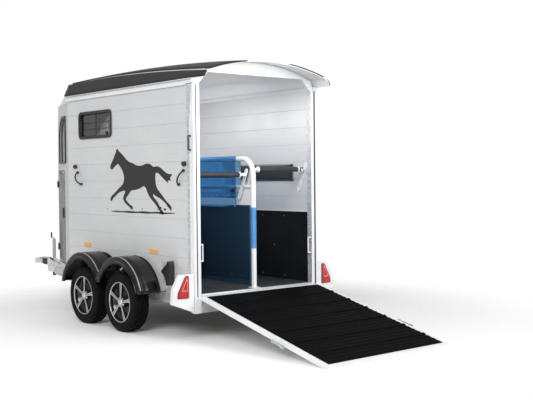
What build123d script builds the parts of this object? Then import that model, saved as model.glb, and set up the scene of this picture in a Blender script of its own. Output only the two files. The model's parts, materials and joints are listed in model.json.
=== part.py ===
from build123d import *
import math
import os

# Tandem-axle horse trailer with a tack-room nose, centre partition and a lowered loading ramp.
# Every length is in millimetres. The shapes are laid out from the rear face of the door posts (x = 0, +X towards
# the tow hitch, +Y to the left, z = 0 on the ground), and save_all() then moves them so that the origin is on the
# ground under the middle of the whole trailer, with the ramp down.

# ------------------------------------------------------------------ driving dimensions
body_half_width = 830.0      # centre line to the outer face of a side wall
body_length = 2636.0         # straight side wall, post to nose
wall_t = 30.0                # hollow aluminium plank
wall_bottom_z = 430.0
wall_top_z = 2580.0
plank_count = 11
plank_skin = 2.2             # wall of the hollow plank
floor_deck_t = 18.0
floor_mat_t = 10.0
kick_t = 8.0
kick_height = 780.0          # black lower lining, above the floor
post_width = 75.0            # door post, across the trailer
post_depth = 70.0
post_wall = 3.0
post_flange = 42.0           # strip that laps over the side wall
sheet_t = 4.0
rail_height = 50.0           # eaves rail
portal_drop = 270.0          # height above the ground where the posts end

nose_angle = 20.0            # how far the nose panels turn in
nose_panel = 970.0           # length of a nose panel at floor height
nose_flat = 150.0            # half width of the flat front
nose_t = 8.0
nose_top_drop = 25.0         # below the top of the side walls

roof_t = 8.0
roof_overhang = 220.0
roof_eave_out = 42.0         # eave outside the side wall
roof_shoulder_in = 30.0      # shoulder inside the side wall
roof_crown_rise = 325.0      # highest point of the centre line, above the walls
roof_shoulder_rise = 203.0
roof_crown_x = 1560.0
roof_shoulder_x = 1980.0
roof_stations = 6            # plan sections that the roof is built from
hood_rake = 30.0             # the hood's side edge runs forward by this much down to the eave
cover_t = 5.0
cover_gap = 0.5
cover_strip_in = 500.0       # strip on the arch, measured inwards from the shoulder
cover_strip_out = 100.0

wheel_r = 317.0
tyre_width = 195.0
rim_r = 207.0
wheel_offset = 298.0         # outer face of the tyre, outside the side wall
rear_axle_x = 977.0
wheel_base = 795.0
hub_bore_r = 17.56
spindle_r = 17.5
axle_tube = 80.0
axle_skin = 5.0
axle_drop = 5.0              # axle tube below the side rails
arm_length = 150.0
arm_gap = 8.0                # trailing arm outside the side wall
arm_t = 32.0
fender_gap = 170.0           # mudguard above the tyre
fender_width = 221.0
fender_offset = 331.0        # outer edge, outside the side wall
fender_t = 6.0
fender_lip = 78.0
fender_end_z = 445.0

rail_z0 = 330.0              # chassis side rail
rail_w = 60.0
chassis_skin = 3.0           # wall of the galvanised box sections
cross_h = 60.0
drawbar_h = 90.0
drawbar_w = 60.0
drawbar_start = 2250.0
drawbar_inset = 190.0        # drawbar rails inside the side wall at their rear ends
housing_x0 = 4350.0
housing_x1 = 4830.0
hitch_front_x = 5250.0
ball_r = 25.0
ball_x = 5196.0
ball_drop = 12.0             # ball centre below the drawtube axis
drawtube_r = 25.0
overrun_travel = 90.0
drawtube_grip = 170.0        # length of drawtube inside the housing
gaiter_end_x = 5016.0
lever_x = 5120.0
handbrake_x = 4450.0

ramp_pivot_x = -47.0
ramp_pivot_z = 424.0
ramp_length = 1890.0
ramp_side_gap = 30.0         # each side of the ramp inside the side wall
ramp_angle = 13.05           # slope of the lowered ramp
ramp_top = 28.0              # top face above the hinge axis
ramp_bottom = -8.0
ramp_edge = 32.0             # width of the edge profile
ramp_mat_t = 7.0
ramp_mat_inset = 48.0
cleat_pitch = 263.0
cleat_h = 6.0
hinge_rod_r = 8.0
running_gap = 0.06

partition_x = 80.0           # rear post of the partition
partition_front_x = 2480.0
partition_tube_r = 27.5
partition_skin = 3.0
partition_top_z = 1830.0
partition_mid_z = 1530.0
partition_bend = 170.0
sheet_gap = 4.0
sheet_end_gap = 250.0        # dividers stop this far behind the front post

bar_pad_r = 30.0
bar_core_r = 16.0
bar_pivot_y = 62.0
bar_wall_gap = 48.0          # bar end to the inside of the wall
bracket_length = 360.0
bracket_width = 48.0
bracket_lean = 25.0          # degrees from vertical
bracket_mid_z = 1628.0
rump_bracket_x = 187.0       # bracket axis at bracket_mid_z
breast_bracket_x = 2387.0
left_bar_z = 1660.0
right_bar_z = 1715.0
knob_z = 1775.0
knob_ahead = 24.0            # release knob beside the bracket axis

window_x0, window_x1 = 1582.0, 2345.0
window_drop = 162.0          # window below the top of the wall
window_height = 321.0
window_rim = 32.0

door_s0, door_s1 = 352.0, 925.0   # tack-room door, along the nose panel
door_z0 = 560.0
door_drop = 850.0            # door below the top of the wall
door_gap = 4.0
door_hinge_inset = 170.0
door_latch_z = 1150.0
pane_s0, pane_s1 = 196.0, 758.0   # nose window
pane_drop = 185.0
pane_height = 557.0

jockey_x = 4905.0
jockey_y = -105.0
jockey_wheel_r = 100.0
jockey_wheel_w = 55.0
jockey_bottom_z = 205.0
jockey_steer = 27.0
jockey_tube_r = 24.0

chock_tip_gap = 57.3         # tip of the chock behind the mudguard
chock_tip_reach = 243.0
chock_tip_z = 134.0          # above the foot of the chock
chock_z0 = 530.0
chock_w = 104.0

# ------------------------------------------------------------------ sizes that follow from them
floor_z = wall_bottom_z + floor_deck_t + floor_mat_t
nose_top_z = wall_top_z - nose_top_drop
inner_y = body_half_width - wall_t
post_inner_y = body_half_width - post_width
front_axle_x = rear_axle_x + wheel_base
wheel_mid_y = body_half_width + wheel_offset - tyre_width / 2
drawbar_z0 = wall_bottom_z - cross_h - drawbar_h
kick_top_z = floor_z + kick_height
rail_top_z = wall_top_z + rail_height - 8
fender_r = wheel_r + fender_gap
fender_outer_y = body_half_width + fender_offset
fender_inner_y = fender_outer_y - fender_width
roof_eave_y = body_half_width + roof_eave_out
roof_shoulder_y = body_half_width - roof_shoulder_in
drawbar_spread = body_half_width - drawbar_inset
ramp_half_width = body_half_width - ramp_side_gap
bar_wall_y = inner_y - bar_wall_gap
window_z1 = wall_top_z - window_drop
window_z0 = window_z1 - window_height
door_z1 = wall_top_z - door_drop
door_hinge_z = (door_z0 + door_hinge_inset + 15, door_z1 - door_hinge_inset)
pane_z1 = wall_top_z - pane_drop
pane_z0 = pane_z1 - pane_height
chock_tip_rise = chock_z0 + chock_tip_z - wheel_r
chock_x0 = rear_axle_x - math.sqrt(fender_r ** 2 - chock_tip_rise ** 2) - chock_tip_gap - chock_tip_reach
rump_knob_x = rump_bracket_x - (knob_z - bracket_mid_z) * math.tan(math.radians(bracket_lean)) + knob_ahead
breast_knob_x = breast_bracket_x + (knob_z - bracket_mid_z) * math.tan(math.radians(bracket_lean)) - knob_ahead
tube_z = drawbar_z0 + drawbar_h + 46
ball_z = tube_z - ball_drop
lever_z = tube_z + 44
handbrake_z = tube_z + 14

nodes = {}


# ------------------------------------------------------------------ small helpers
def block(x0, x1, y0, y1, z0, z1):
    """Box between two corners."""
    size = (x1 - x0, y1 - y0, z1 - z0)
    return Pos((x0 + x1) / 2, (y0 + y1) / 2, (z0 + z1) / 2) * Box(*size)


def both_sides(shape):
    """The shape and its mirror image on the other side of the trailer."""
    return [shape, mirror(shape, about=Plane.XZ)]


def rod(start, end, radius):
    """Round bar from one point to another."""
    a, b = Vector(*start), Vector(*end)
    plane = Plane(origin=a, z_dir=(b - a).normalized())
    return extrude(plane * Circle(radius), amount=(b - a).length)


def box_tube(x0, x1, y0, y1, z0, z1, skin, axis):
    """Square tube, open at both ends of its axis."""
    grow = {"X": (1, -skin, -skin), "Y": (-skin, 1, -skin), "Z": (-skin, -skin, 1)}[axis]
    hollow = block(x0 - grow[0], x1 + grow[0], y0 - grow[1], y1 + grow[1], z0 - grow[2], z1 + grow[2])
    return block(x0, x1, y0, y1, z0, z1) - hollow


def slab_xz(points, y0, y1):
    """Outline in X and Z, with its thickness from y0 to y1."""
    face = make_face(Polyline(*points, close=True))
    return extrude(Plane.XZ.offset(-y1) * face, amount=y1 - y0)


def slab_yz(points, x0, x1):
    """Outline in Y and Z, with its thickness from x0 to x1."""
    face = make_face(Polyline(*points, close=True))
    return extrude(Plane.YZ.offset(x0) * face, amount=x1 - x0)


def slab_xy(points, z0, z1):
    """Outline in X and Y, with its thickness from z0 to z1."""
    face = make_face(Polyline(*points, close=True))
    return extrude(Plane.XY.offset(z0) * face, amount=z1 - z0)


def solids(*shapes):
    """All the solids of some shapes, in one list."""
    found = []
    for shape in shapes:
        if isinstance(shape, (list, tuple)):
            found += solids(*shape)
        else:
            found += shape.solids()
    return found


def node(name, *shapes):
    """Keeps some separate solids as one named part."""
    nodes[name] = solids(*shapes)


# ------------------------------------------------------------------ chassis
def chassis():
    rail_y = body_half_width - 10 - rail_w
    x0 = post_depth - 10 + 2
    rail = box_tube(x0, body_length, rail_y, rail_y + rail_w, rail_z0, wall_bottom_z, chassis_skin, "X")
    cross_z0 = wall_bottom_z - cross_h
    cross = []
    for x in (640.0, 1260.0, 1560.0, body_length - 306, body_length - 46):
        cross.append(box_tube(x, x + 46, -rail_y, rail_y, cross_z0, wall_bottom_z, chassis_skin, "Y"))
    half = post_inner_y - 1
    sill = box_tube(0, 60, -half, half, portal_drop, wall_bottom_z, chassis_skin, "Y")
    return [both_sides(rail), cross, sill]


def drawbar():
    """Two converging box sections under the body, with a tie plate across them."""
    rear = Vector(drawbar_start, drawbar_spread, 0)
    tip = Vector(housing_x0 + 120, 55 + drawbar_w / 2, 0)
    run = tip - rear
    length = run.length
    mid = (rear + tip) * 0.5
    turn = math.degrees(math.atan2(run.Y, run.X))
    inner_w, inner_h = drawbar_w - 2 * chassis_skin, drawbar_h - 2 * chassis_skin
    tube = Box(length, drawbar_w, drawbar_h) - Box(length + 2, inner_w, inner_h)
    arm = Pos(mid.X, mid.Y, drawbar_z0 + drawbar_h / 2) * Rot(0, 0, turn) * tube
    tie_z = drawbar_z0 + drawbar_h
    tie = block(3560, 3640, -330, 330, tie_z, tie_z + 10)
    return [both_sides(arm), tie]


def axle(x):
    """Torsion axle: square tube, two trailing arms, two spindles and two brake back plates."""
    half = axle_tube / 2
    z = rail_z0 - axle_drop - half
    tube_x = x + arm_length
    arm_y = body_half_width + arm_gap
    tube = box_tube(tube_x - half, tube_x + half, -arm_y, arm_y, z - half, z + half, axle_skin, "Y")
    arm = slab_xz([(x - 34, wheel_r - 30), (x - 34, wheel_r + 30), (x + 34, wheel_r + 34),
                   (tube_x + half, z + half), (tube_x + half, z - half)], arm_y, arm_y + arm_t)
    plate_y = arm_y + arm_t
    plate = rod((x, plate_y, wheel_r), (x, plate_y + 8, wheel_r), 118)
    spindle_y = plate_y + 8
    spindle = rod((x, spindle_y, wheel_r), (x, wheel_mid_y + 62, wheel_r), spindle_r)
    return [tube, both_sides(arm), both_sides(plate), both_sides(spindle)]


def floor():
    """Deck boards and the rubber mat on them. Both narrow to pass between the door posts."""
    half = inner_y - 2
    x0, post_x = -10.0, post_depth - 10 + 2
    deck_top = wall_bottom_z + floor_deck_t
    tip_y = half - 900 * math.tan(math.radians(nose_angle))
    threshold = block(x0, post_x, -post_inner_y + 1, post_inner_y - 1, wall_bottom_z, deck_top)
    deck = threshold + block(post_x, body_length, -half, half, wall_bottom_z, deck_top)
    nose_deck = slab_xy([(body_length, half), (body_length + 900, tip_y), (body_length + 900, -tip_y),
                         (body_length, -half)], wall_bottom_z, deck_top)
    mat = block(x0, post_x, -post_inner_y + 1, post_inner_y - 1, deck_top, floor_z)
    mat += block(post_x, body_length - 66, -half, half, deck_top, floor_z)
    return [deck, nose_deck], [mat]


# ------------------------------------------------------------------ body shell
def side_wall(with_window):
    """Tongue-and-groove planks laid one on another, with the window and release-pin holes cut through them."""
    plank_h = (wall_top_z - wall_bottom_z) / plank_count
    x0, x1 = post_depth - 10 + 2, body_length - 2
    planks = []
    for i in range(plank_count):
        z = wall_bottom_z + i * plank_h
        plank = chamfer(block(x0, x1, inner_y, body_half_width, z, z + plank_h).edges().filter_by(Axis.X), 1.6)
        t = plank_skin
        plank -= block(x0 - 1, x1 + 1, inner_y + t, body_half_width - t, z + t, z + plank_h - t)
        planks.append(plank)
    cuts = []
    if with_window:
        cuts.append(block(window_x0 + window_rim / 2, window_x1 - window_rim / 2, inner_y - 50, body_half_width + 50,
                          window_z0 + window_rim / 2, window_z1 - window_rim / 2))
    for x in (rump_knob_x, breast_knob_x):
        cuts.append(rod((x, inner_y - 50, knob_z), (x, body_half_width + 50, knob_z), 8))
    for cut in cuts:
        box = cut.bounding_box()
        for i, plank in enumerate(planks):
            own = plank.bounding_box()
            if own.max.Z > box.min.Z and own.min.Z < box.max.Z:
                planks[i] = plank - cut
    return planks


def nose_outline(panel, inset, x_start):
    """Plan of the nose at one height: two slanted panels joined by a round front."""
    turn = math.radians(nose_angle)
    c, s = math.cos(turn), math.sin(turn)
    ax, ay = body_length, body_half_width - inset / c
    bx, by = body_length + panel * c, ay - panel * s
    radius = (by - nose_flat) / c
    front_x = bx + radius * (1 - s)
    mid = (turn + math.pi / 2) / 2
    cx, cy = bx - radius * s, by - radius * c
    arc_x, arc_y = cx + radius * math.sin(mid), cy + radius * math.cos(mid)
    start_y = ay + (ax - x_start) * math.tan(turn)
    edges = [
        Line((x_start, start_y), (bx, by)),
        ThreePointArc((bx, by), (arc_x, arc_y), (front_x, nose_flat)),
        Line((front_x, nose_flat), (front_x, -nose_flat)),
        ThreePointArc((front_x, -nose_flat), (arc_x, -arc_y), (bx, -by)),
        Line((bx, -by), (x_start, -start_y)),
        Line((x_start, -start_y), (x_start, start_y)),
    ]
    return edges


def nose_levels():
    """Height of each plan section, and the length of the nose panel there."""
    return [(wall_bottom_z + 34, nose_panel), (wall_top_z - 680, nose_panel), (wall_top_z - 280, nose_panel - 30),
            (nose_top_z, nose_panel - 105)]


def nose_solid(inset, x_start, stretch):
    """Closed nose volume, inset from the outer skin. stretch lengthens it past both ends."""
    sections = []
    levels = nose_levels()
    for i, (z, panel) in enumerate(levels):
        shift = stretch * ((i == len(levels) - 1) - (i == 0))
        face = make_face(nose_outline(panel, inset, x_start))
        sections.append(Plane.XY.offset(z + shift) * face)
    lower = loft([sections[0], sections[1]], ruled=True)
    upper = loft(sections[1:], ruled=True)
    return lower + upper


def nose_frame():
    """Plane of the left nose panel: x runs along it from the side wall, y is up, z points out."""
    turn = math.radians(nose_angle)
    return Plane(origin=(body_length, body_half_width, 0),
                 x_dir=(math.cos(turn), -math.sin(turn), 0), z_dir=(math.sin(turn), math.cos(turn), 0))


def on_nose(s0, s1, z0, z1, depth0, depth1, corner=0.0):
    """Rounded slab on the left nose panel. Depths are measured outwards from its skin."""
    # local y of the plane points down when z_dir is outward, so the heights are negated
    frame = nose_frame()
    up = 1 if frame.y_dir.Z > 0 else -1
    outline = RectangleRounded(s1 - s0, z1 - z0, corner) if corner else Rectangle(s1 - s0, z1 - z0)
    face = Pos((s0 + s1) / 2, up * (z0 + z1) / 2) * outline
    return extrude(frame.offset(depth0) * face, amount=depth1 - depth0)


def nose_window_face(grow):
    """Outline of the nose window: the upper front corner is swept back in an arc."""
    frame = nose_frame()
    up = 1 if frame.y_dir.Z > 0 else -1
    s0, s1 = pane_s0 - grow, pane_s1 + grow
    z0, z1 = pane_z0 - grow, pane_z1 + grow
    shoulder_z = pane_z1 - 230
    crown_s = pane_s0 + 150
    edges = [
        Line((s0, up * z0), (s1, up * z0)),
        Line((s1, up * z0), (s1, up * shoulder_z)),
        ThreePointArc((s1, up * shoulder_z), (s1 - 120 - grow / 3, up * (z1 - 62)), (crown_s, up * z1)),
        Line((crown_s, up * z1), (s0, up * z1)),
        Line((s0, up * z1), (s0, up * z0)),
    ]
    return frame, make_face(edges)


def nose():
    shell = nose_solid(0, body_length, 0) - nose_solid(nose_t, body_length - 1, 5)
    shell -= on_nose(door_s0, door_s1, door_z0, door_z1, -60, 40, 45)
    frame, face = nose_window_face(-10)
    shell -= extrude(frame.offset(-60) * face, amount=100)
    return shell


def nose_window():
    frame, face = nose_window_face(14)
    _, hole = nose_window_face(-14)
    _, glass = nose_window_face(-11)
    bezel = extrude(frame.offset(0.5) * face, amount=14) - extrude(frame.offset(-5) * hole, amount=30)
    pane = extrude(frame.offset(-14) * glass, amount=5)
    return bezel, pane


def bulkhead():
    x0 = body_length - 54
    return block(x0, x0 + 18, -inner_y + 1, inner_y - 1, floor_z - floor_mat_t, wall_top_z - 30)


def rear_posts():
    x0, x1 = -10.0, post_depth - 10
    outer = block(x0, x1, post_inner_y, body_half_width, portal_drop, wall_top_z - 5)
    core = block(x0 + post_wall, x1 - post_wall, post_inner_y + post_wall, body_half_width - post_wall,
                 portal_drop - 1, wall_top_z + 1)
    strip = block(x0, x1 + post_flange, body_half_width, body_half_width + sheet_t, wall_bottom_z, wall_top_z - 5)
    return both_sides(outer - core + strip)


def rear_header():
    """Arched plate between the posts, with a straight lower edge and corner gussets."""
    crown = roof_crown(30) - roof_t - 8
    corner_y = inner_y - 4
    low_z, chord_z, gusset_y = wall_top_z - 4, wall_top_z + 120, body_half_width - 190
    side_z = rail_top_z - 12
    knee_y, knee_z = body_half_width - 68, roof_shoulder(30) - roof_t - 14
    edges = [
        Line((corner_y, low_z), (corner_y, side_z)),
        Line((corner_y, side_z), (knee_y, knee_z)),
        ThreePointArc((knee_y, knee_z), (0, crown), (-knee_y, knee_z)),
        Line((-knee_y, knee_z), (-corner_y, side_z)),
        Line((-corner_y, side_z), (-corner_y, low_z)),
        Line((-corner_y, low_z), (-post_inner_y, low_z)),
        Line((-post_inner_y, low_z), (-gusset_y, chord_z)),
        Line((-gusset_y, chord_z), (gusset_y, chord_z)),
        Line((gusset_y, chord_z), (post_inner_y, low_z)),
        Line((post_inner_y, low_z), (corner_y, low_z)),
    ]
    return extrude(Plane.YZ.offset(4) * make_face(edges), amount=40)


def top_rails():
    """Eaves rails: angle profiles that cap the side walls and carry the roof."""
    lip = block(-14, body_length, inner_y, body_half_width + 18, wall_top_z, rail_top_z)
    skirt = block(post_depth + post_flange, body_length, body_half_width + 1, body_half_width + 18,
                  wall_top_z - 14, wall_top_z)
    return both_sides(lip + skirt)


# ------------------------------------------------------------------ roof
def roof_crown(x):
    """Height of the roof on the centre line."""
    return wall_top_z + roof_crown_rise - 2.55e-5 * (x - roof_crown_x) ** 2


def roof_shoulder(x):
    """Height of the edge between the roof's side band and its arch."""
    return wall_top_z + roof_shoulder_rise - 1.9e-5 * (x - roof_shoulder_x) ** 2


def roof_face(x, eave_y, base_z, shoulder_y, shoulder_z, crown_z, hollow):
    """Cross-section of the roof. hollow is the shell's thickness, or 0 for a full section."""
    edges = [
        Line((eave_y, base_z), (shoulder_y, shoulder_z)),
        ThreePointArc((shoulder_y, shoulder_z), (0, crown_z), (-shoulder_y, shoulder_z)),
        Line((-shoulder_y, shoulder_z), (-eave_y, base_z)),
    ]
    if hollow:
        t = hollow
        side_y, side_z = shoulder_y - t, shoulder_z - t / 2
        edges += [
            Line((-eave_y, base_z), (-eave_y + t, base_z)),
            Line((-eave_y + t, base_z), (-side_y, side_z)),
            ThreePointArc((-side_y, side_z), (0, crown_z - t), (side_y, side_z)),
            Line((side_y, side_z), (eave_y - t, base_z)),
            Line((eave_y - t, base_z), (eave_y, base_z)),
        ]
    else:
        edges.append(Line((-eave_y, base_z), (eave_y, base_z)))
    return Plane.YZ.offset(x) * make_face(edges)


def station_x():
    """Places along the trailer of the roof's sections."""
    step = (body_length + roof_overhang) / (roof_stations - 1)
    return [-roof_overhang + i * step for i in range(roof_stations)]


def roof_main():
    sections = []
    for x in station_x():
        shoulder_z, crown_z = roof_shoulder(x), roof_crown(x)
        sections.append(roof_face(x, roof_eave_y, rail_top_z, roof_shoulder_y, shoulder_z, crown_z, roof_t))
    shell = loft(sections, ruled=True)
    lift = roof_shoulder(0) - rail_top_z
    slope = slab_xz([(-roof_overhang - 5, rail_top_z - 5), (-roof_overhang + hood_rake, rail_top_z - 5),
                     (-roof_overhang, rail_top_z + lift), (-roof_overhang - 5, rail_top_z + lift)], -1000, 1000)
    return shell - slope


def nose_cap_faces(inset):
    """Sections of the roof's front cap, from the side walls to the nose, as (x, eave, shoulder, heights)."""
    turn = math.tan(math.radians(nose_angle))
    base_z = nose_top_z - (1 if inset else 0)
    faces = []
    for run, shoulder_fall, crown_fall in ((0, 0, 0), (314, 26.8, 13.5), (614, 74.8, 83.5), (814, 124.8, 163.5)):
        eave = body_half_width + 8 - run * turn
        shoulder = eave - 45 - run * 0.04
        shoulder_z = roof_shoulder(body_length) - shoulder_fall
        crown_z = roof_crown(body_length) - crown_fall
        faces.append(roof_face(body_length + run, eave - inset, base_z, shoulder - inset, shoulder_z - inset / 2,
                               crown_z - inset, 0))
    tip_eave, tip_z = body_half_width - 500, nose_top_z + 35
    faces.append(roof_face(body_length + 1019 - inset, tip_eave - inset, base_z, tip_eave - 90 - inset,
                           tip_z - inset / 2, tip_z + 14 - inset / 2, 0))
    return faces


def nose_cap():
    cap = loft(nose_cap_faces(0), ruled=True)
    hollow = loft(nose_cap_faces(roof_t), ruled=True)
    return cap - hollow


def roof_side_covers():
    """Dark cover panels: a band on each roof side, and a strip on each slope of the arch."""
    band, strip = [], []
    gap = cover_gap
    y_in, y_out = roof_shoulder_y - cover_strip_in, roof_shoulder_y - cover_strip_out
    y_mid = (y_in + y_out) / 2
    for x in station_x():
        z = roof_shoulder(x)
        lean = (roof_eave_y - roof_shoulder_y) / (z - rail_top_z)
        low_z, high_z = rail_top_z + 6, z - 2
        low_y, high_y = roof_eave_y - 6 * lean + gap, roof_shoulder_y + 2 * lean + gap
        quad = [(low_y, low_z), (low_y + cover_t, low_z), (high_y + cover_t, high_z), (high_y, high_z)]
        band.append(Plane.YZ.offset(x) * make_face(Polyline(*quad, close=True)))
        rise = roof_crown(x) - z
        radius = (roof_shoulder_y ** 2 + rise ** 2) / (2 * rise)
        centre_z = roof_crown(x) - radius

        def arc_point(y, lift):
            return y, centre_z + math.sqrt((radius + lift) ** 2 - y * y)

        edges = [
            ThreePointArc(arc_point(y_in, gap), arc_point(y_mid, gap), arc_point(y_out, gap)),
            Line(arc_point(y_out, gap), arc_point(y_out, cover_t)),
            ThreePointArc(arc_point(y_out, cover_t), arc_point(y_mid, cover_t), arc_point(y_in, cover_t)),
            Line(arc_point(y_in, cover_t), arc_point(y_in, gap)),
        ]
        strip.append(Plane.YZ.offset(x) * make_face(edges))
    lift = roof_shoulder(0) - rail_top_z
    rear = -roof_overhang
    slope = slab_xz([(rear - 5, rail_top_z - 5), (rear + hood_rake + 6, rail_top_z - 5),
                     (rear + 6, rail_top_z + lift), (rear - 5, rail_top_z + lift)], y_out, 1200)
    top_z = wall_top_z + 420
    ends = block(body_length - 12, body_length + 50, y_in - 100, 1200, rail_top_z - 50, top_z)
    ends += block(rear - 50, rear + 6, y_in - 100, 1200, rail_top_z - 50, top_z)
    band_solid = loft(band, ruled=True) - slope - ends
    strip_solid = loft(strip, ruled=True) - ends
    return both_sides(band_solid) + both_sides(strip_solid)


# ------------------------------------------------------------------ lining, windows and trim
def kick_panels():
    face = block(post_depth - 8, body_length - 76, inner_y - kick_t, inner_y - 0.5, floor_z, kick_top_z)
    return both_sides(face)


def wall_pads():
    pad = block(332, 1332, inner_y - 42, inner_y - 1, 1586, 1780)
    return both_sides(fillet(pad.edges().filter_by(Axis.X), 12))


def side_window():
    """Outer frame with guard bars, the fixed front pane and the sliding rear pane."""
    def rounded(grow, y0, y1):
        w = window_x1 - window_x0 - 2 * grow
        h = window_z1 - window_z0 - 2 * grow
        mid = ((window_x0 + window_x1) / 2, (window_z0 + window_z1) / 2)
        face = Pos(*mid) * RectangleRounded(w, h, 62 - grow)
        return extrude(Plane.XZ.offset(-y1) * face, amount=y1 - y0)

    y_out = body_half_width
    flange = rounded(0, y_out + 0.5, y_out + 14) - rounded(window_rim, y_out - 1, y_out + 20)
    inner_flange = rounded(window_rim - 14, inner_y - 12, inner_y - 0.5)
    inner_flange -= rounded(window_rim + 8, inner_y - 14, inner_y)
    guard_z = (window_z0 + 116, window_z0 + 190)
    bars = []
    for z in guard_z:
        bars.append(rod((window_x0 + 24, inner_y - 17, z), (window_x1 - 24, inner_y - 17, z), 4.5))
    mid_x = (window_x0 + window_x1) / 2
    upright = block(mid_x - 6, mid_x + 6, inner_y - 30, inner_y - 22, window_z0 + 22, window_z1 - 22)
    z0, z1 = window_z0 + window_rim / 2 + 1, window_z1 - window_rim / 2 - 1
    fixed = block(mid_x - 14, window_x1 - window_rim / 2 - 1, y_out - 24, y_out - 18, z0, z1)
    slide = block(window_x0 + window_rim / 2 + 1, mid_x + 14, y_out - 14, y_out - 8, z0, z1)
    knob_x, knob_z1 = window_x0 + 115, window_z0 + 55
    knob = rod((knob_x, y_out - 8, knob_z1), (knob_x, y_out + 10, knob_z1), 17)
    return [flange, inner_flange, bars, upright], fixed, slide + knob


def fender():
    """Tandem mudguard: an arched top over both wheels, an outer lip and a tongue between the wheels."""
    def arch(radius):
        half = wheel_base / 2
        mid_x = (rear_axle_x + front_axle_x) / 2
        valley_z = wheel_r + math.sqrt(radius ** 2 - half ** 2)
        end = math.sqrt(radius ** 2 - (fender_end_z - wheel_r) ** 2)
        rear_end = (rear_axle_x - end, fender_end_z)
        front_end = (front_axle_x + end, fender_end_z)
        up = math.radians(100)
        rear_mid = (rear_axle_x + radius * math.cos(up), wheel_r + radius * math.sin(up))
        front_mid = (front_axle_x - radius * math.cos(up), wheel_r + radius * math.sin(up))
        return [ThreePointArc(rear_end, rear_mid, (mid_x, valley_z)),
                ThreePointArc((mid_x, valley_z), front_mid, front_end)], rear_end, front_end

    outer, rear_out, front_out = arch(fender_r)
    inner, rear_in, front_in = arch(fender_r - fender_t)
    closing = [Line(rear_out, rear_in), Line(front_out, front_in)]
    top = extrude(Plane.XZ.offset(-fender_outer_y) * make_face(outer + inner + closing), amount=fender_width)

    lip_r = fender_r - fender_lip
    mid_x = (rear_axle_x + front_axle_x) / 2
    end = math.sqrt(lip_r ** 2 - (fender_end_z - wheel_r) ** 2)
    tongue_z = 505.0
    tongue_half = wheel_base / 2 - math.sqrt(lip_r ** 2 - (tongue_z - wheel_r) ** 2)
    rear_lip = (rear_axle_x - end, fender_end_z)
    front_lip = (front_axle_x + end, fender_end_z)
    up = math.radians(95)
    rear_mid = (rear_axle_x + lip_r * math.cos(up), wheel_r + lip_r * math.sin(up))
    front_mid = (front_axle_x - lip_r * math.cos(up), wheel_r + lip_r * math.sin(up))
    edges = outer + [
        Line(front_out, front_lip),
        ThreePointArc(front_lip, front_mid, (mid_x + tongue_half, tongue_z)),
        Line((mid_x + tongue_half, tongue_z), (mid_x - tongue_half, tongue_z)),
        ThreePointArc((mid_x - tongue_half, tongue_z), rear_mid, rear_lip),
        Line(rear_lip, rear_out),
    ]
    lip = extrude(Plane.XZ.offset(-fender_outer_y) * make_face(edges), amount=fender_t)
    stays = []
    z = fender_end_z + 10
    for x in (rear_axle_x - fender_r + 17, front_axle_x + fender_r - 57):
        stays.append(block(x, x + 40, body_half_width + 0.5, fender_inner_y, z, z + 6))
        stays.append(block(x, x + 40, fender_inner_y, fender_inner_y + 4, z - 9, z + 45))
    return top + lip, stays


def handles():
    """Curved black pull handles beside the release knobs, and the D handles on the door posts."""
    made = []
    for x, lean in ((164.0, 1), (2383.0, -1)):
        top = Vector(x, body_half_width, 1706)
        low = Vector(x + lean * 85, body_half_width, 1567)
        mid = (top + low) * 0.5 + Vector(-lean * 10, 58, -6)
        path = ThreePointArc(tuple(top + Vector(0, 12, 0)), tuple(mid), tuple(low + Vector(0, 12, 0)))
        grip = sweep(Plane(origin=path @ 0, z_dir=path % 0) * Circle(9), path=path)
        feet = [rod((p.X, body_half_width + 0.5, p.Z), (p.X, body_half_width + 20, p.Z), 15) for p in (top, low)]
        made += both_sides(grip + feet[0] + feet[1])
    y = body_half_width + sheet_t
    bail = block(28, 44, y + 0.5, y + 34, 1905, 2060) - block(20, 50, y, y + 24, 1920, 2045)
    made += both_sides(bail)
    grip = block(4, 18, post_inner_y - 40, post_inner_y - 0.5, 786, 966) \
        - block(0, 30, post_inner_y - 30, post_inner_y + 5, 800, 952)
    made += both_sides(grip)
    return made


def side_reflectors():
    made = []
    for x in (2178.0, 743.0):
        made += both_sides(block(x - 75, x + 75, body_half_width + 0.5, body_half_width + 9, 834, 876))
    return made


def rear_lights():
    """White corner housings beside the posts, and their red lenses."""
    y0 = body_half_width + sheet_t + 0.5
    w = body_half_width
    outline = [(y0, 668), (w + 172, 668), (w + 250, 536), (w + 263, 382), (y0, 284)]
    housing = slab_yz(outline, 0, 56)
    front = [(y0, 640), (w + 155, 640), (w + 230, 530), (w + 242, 396), (y0, 306)]
    housing -= slab_yz(front, 5, 60)
    corners = [(w + 75, 436), (w + 210, 440), (w + 200, 500), (w + 115, 655), (w + 75, 655)]
    lens_face = make_face(Polyline(*corners, close=True))
    lens_face = fillet(lens_face.vertices(), 14)
    lens = extrude(Plane.YZ.offset(-16) * lens_face, amount=15.5)
    return both_sides(housing), both_sides(lens)


def chock_parts():
    """Wheel chock, stored upright in its wall holder."""
    y0 = body_half_width + 14
    x, z = chock_x0, chock_z0
    edges = [
        Line((x, z), (x, z + 202)),
        Line((x, z + 202), (x + 65, z + 248)),
        Line((x + 65, z + 248), (x + chock_tip_reach, z + chock_tip_z)),
        ThreePointArc((x + chock_tip_reach, z + chock_tip_z), (x + 133, z + 88), (x + 97, z)),
        Line((x + 97, z), (x, z)),
    ]
    chock = extrude(Plane.XZ.offset(-(y0 + chock_w)) * make_face(edges), amount=chock_w)
    plate = block(x + 10, x + 225, body_half_width + 0.5, y0 - 0.6, z + 15, z + 230)
    shelf = block(x - 5, x + 105, body_half_width + 0.5, y0 + chock_w, z - 10, z - 0.5)
    return chock, [plate + shelf]


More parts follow.
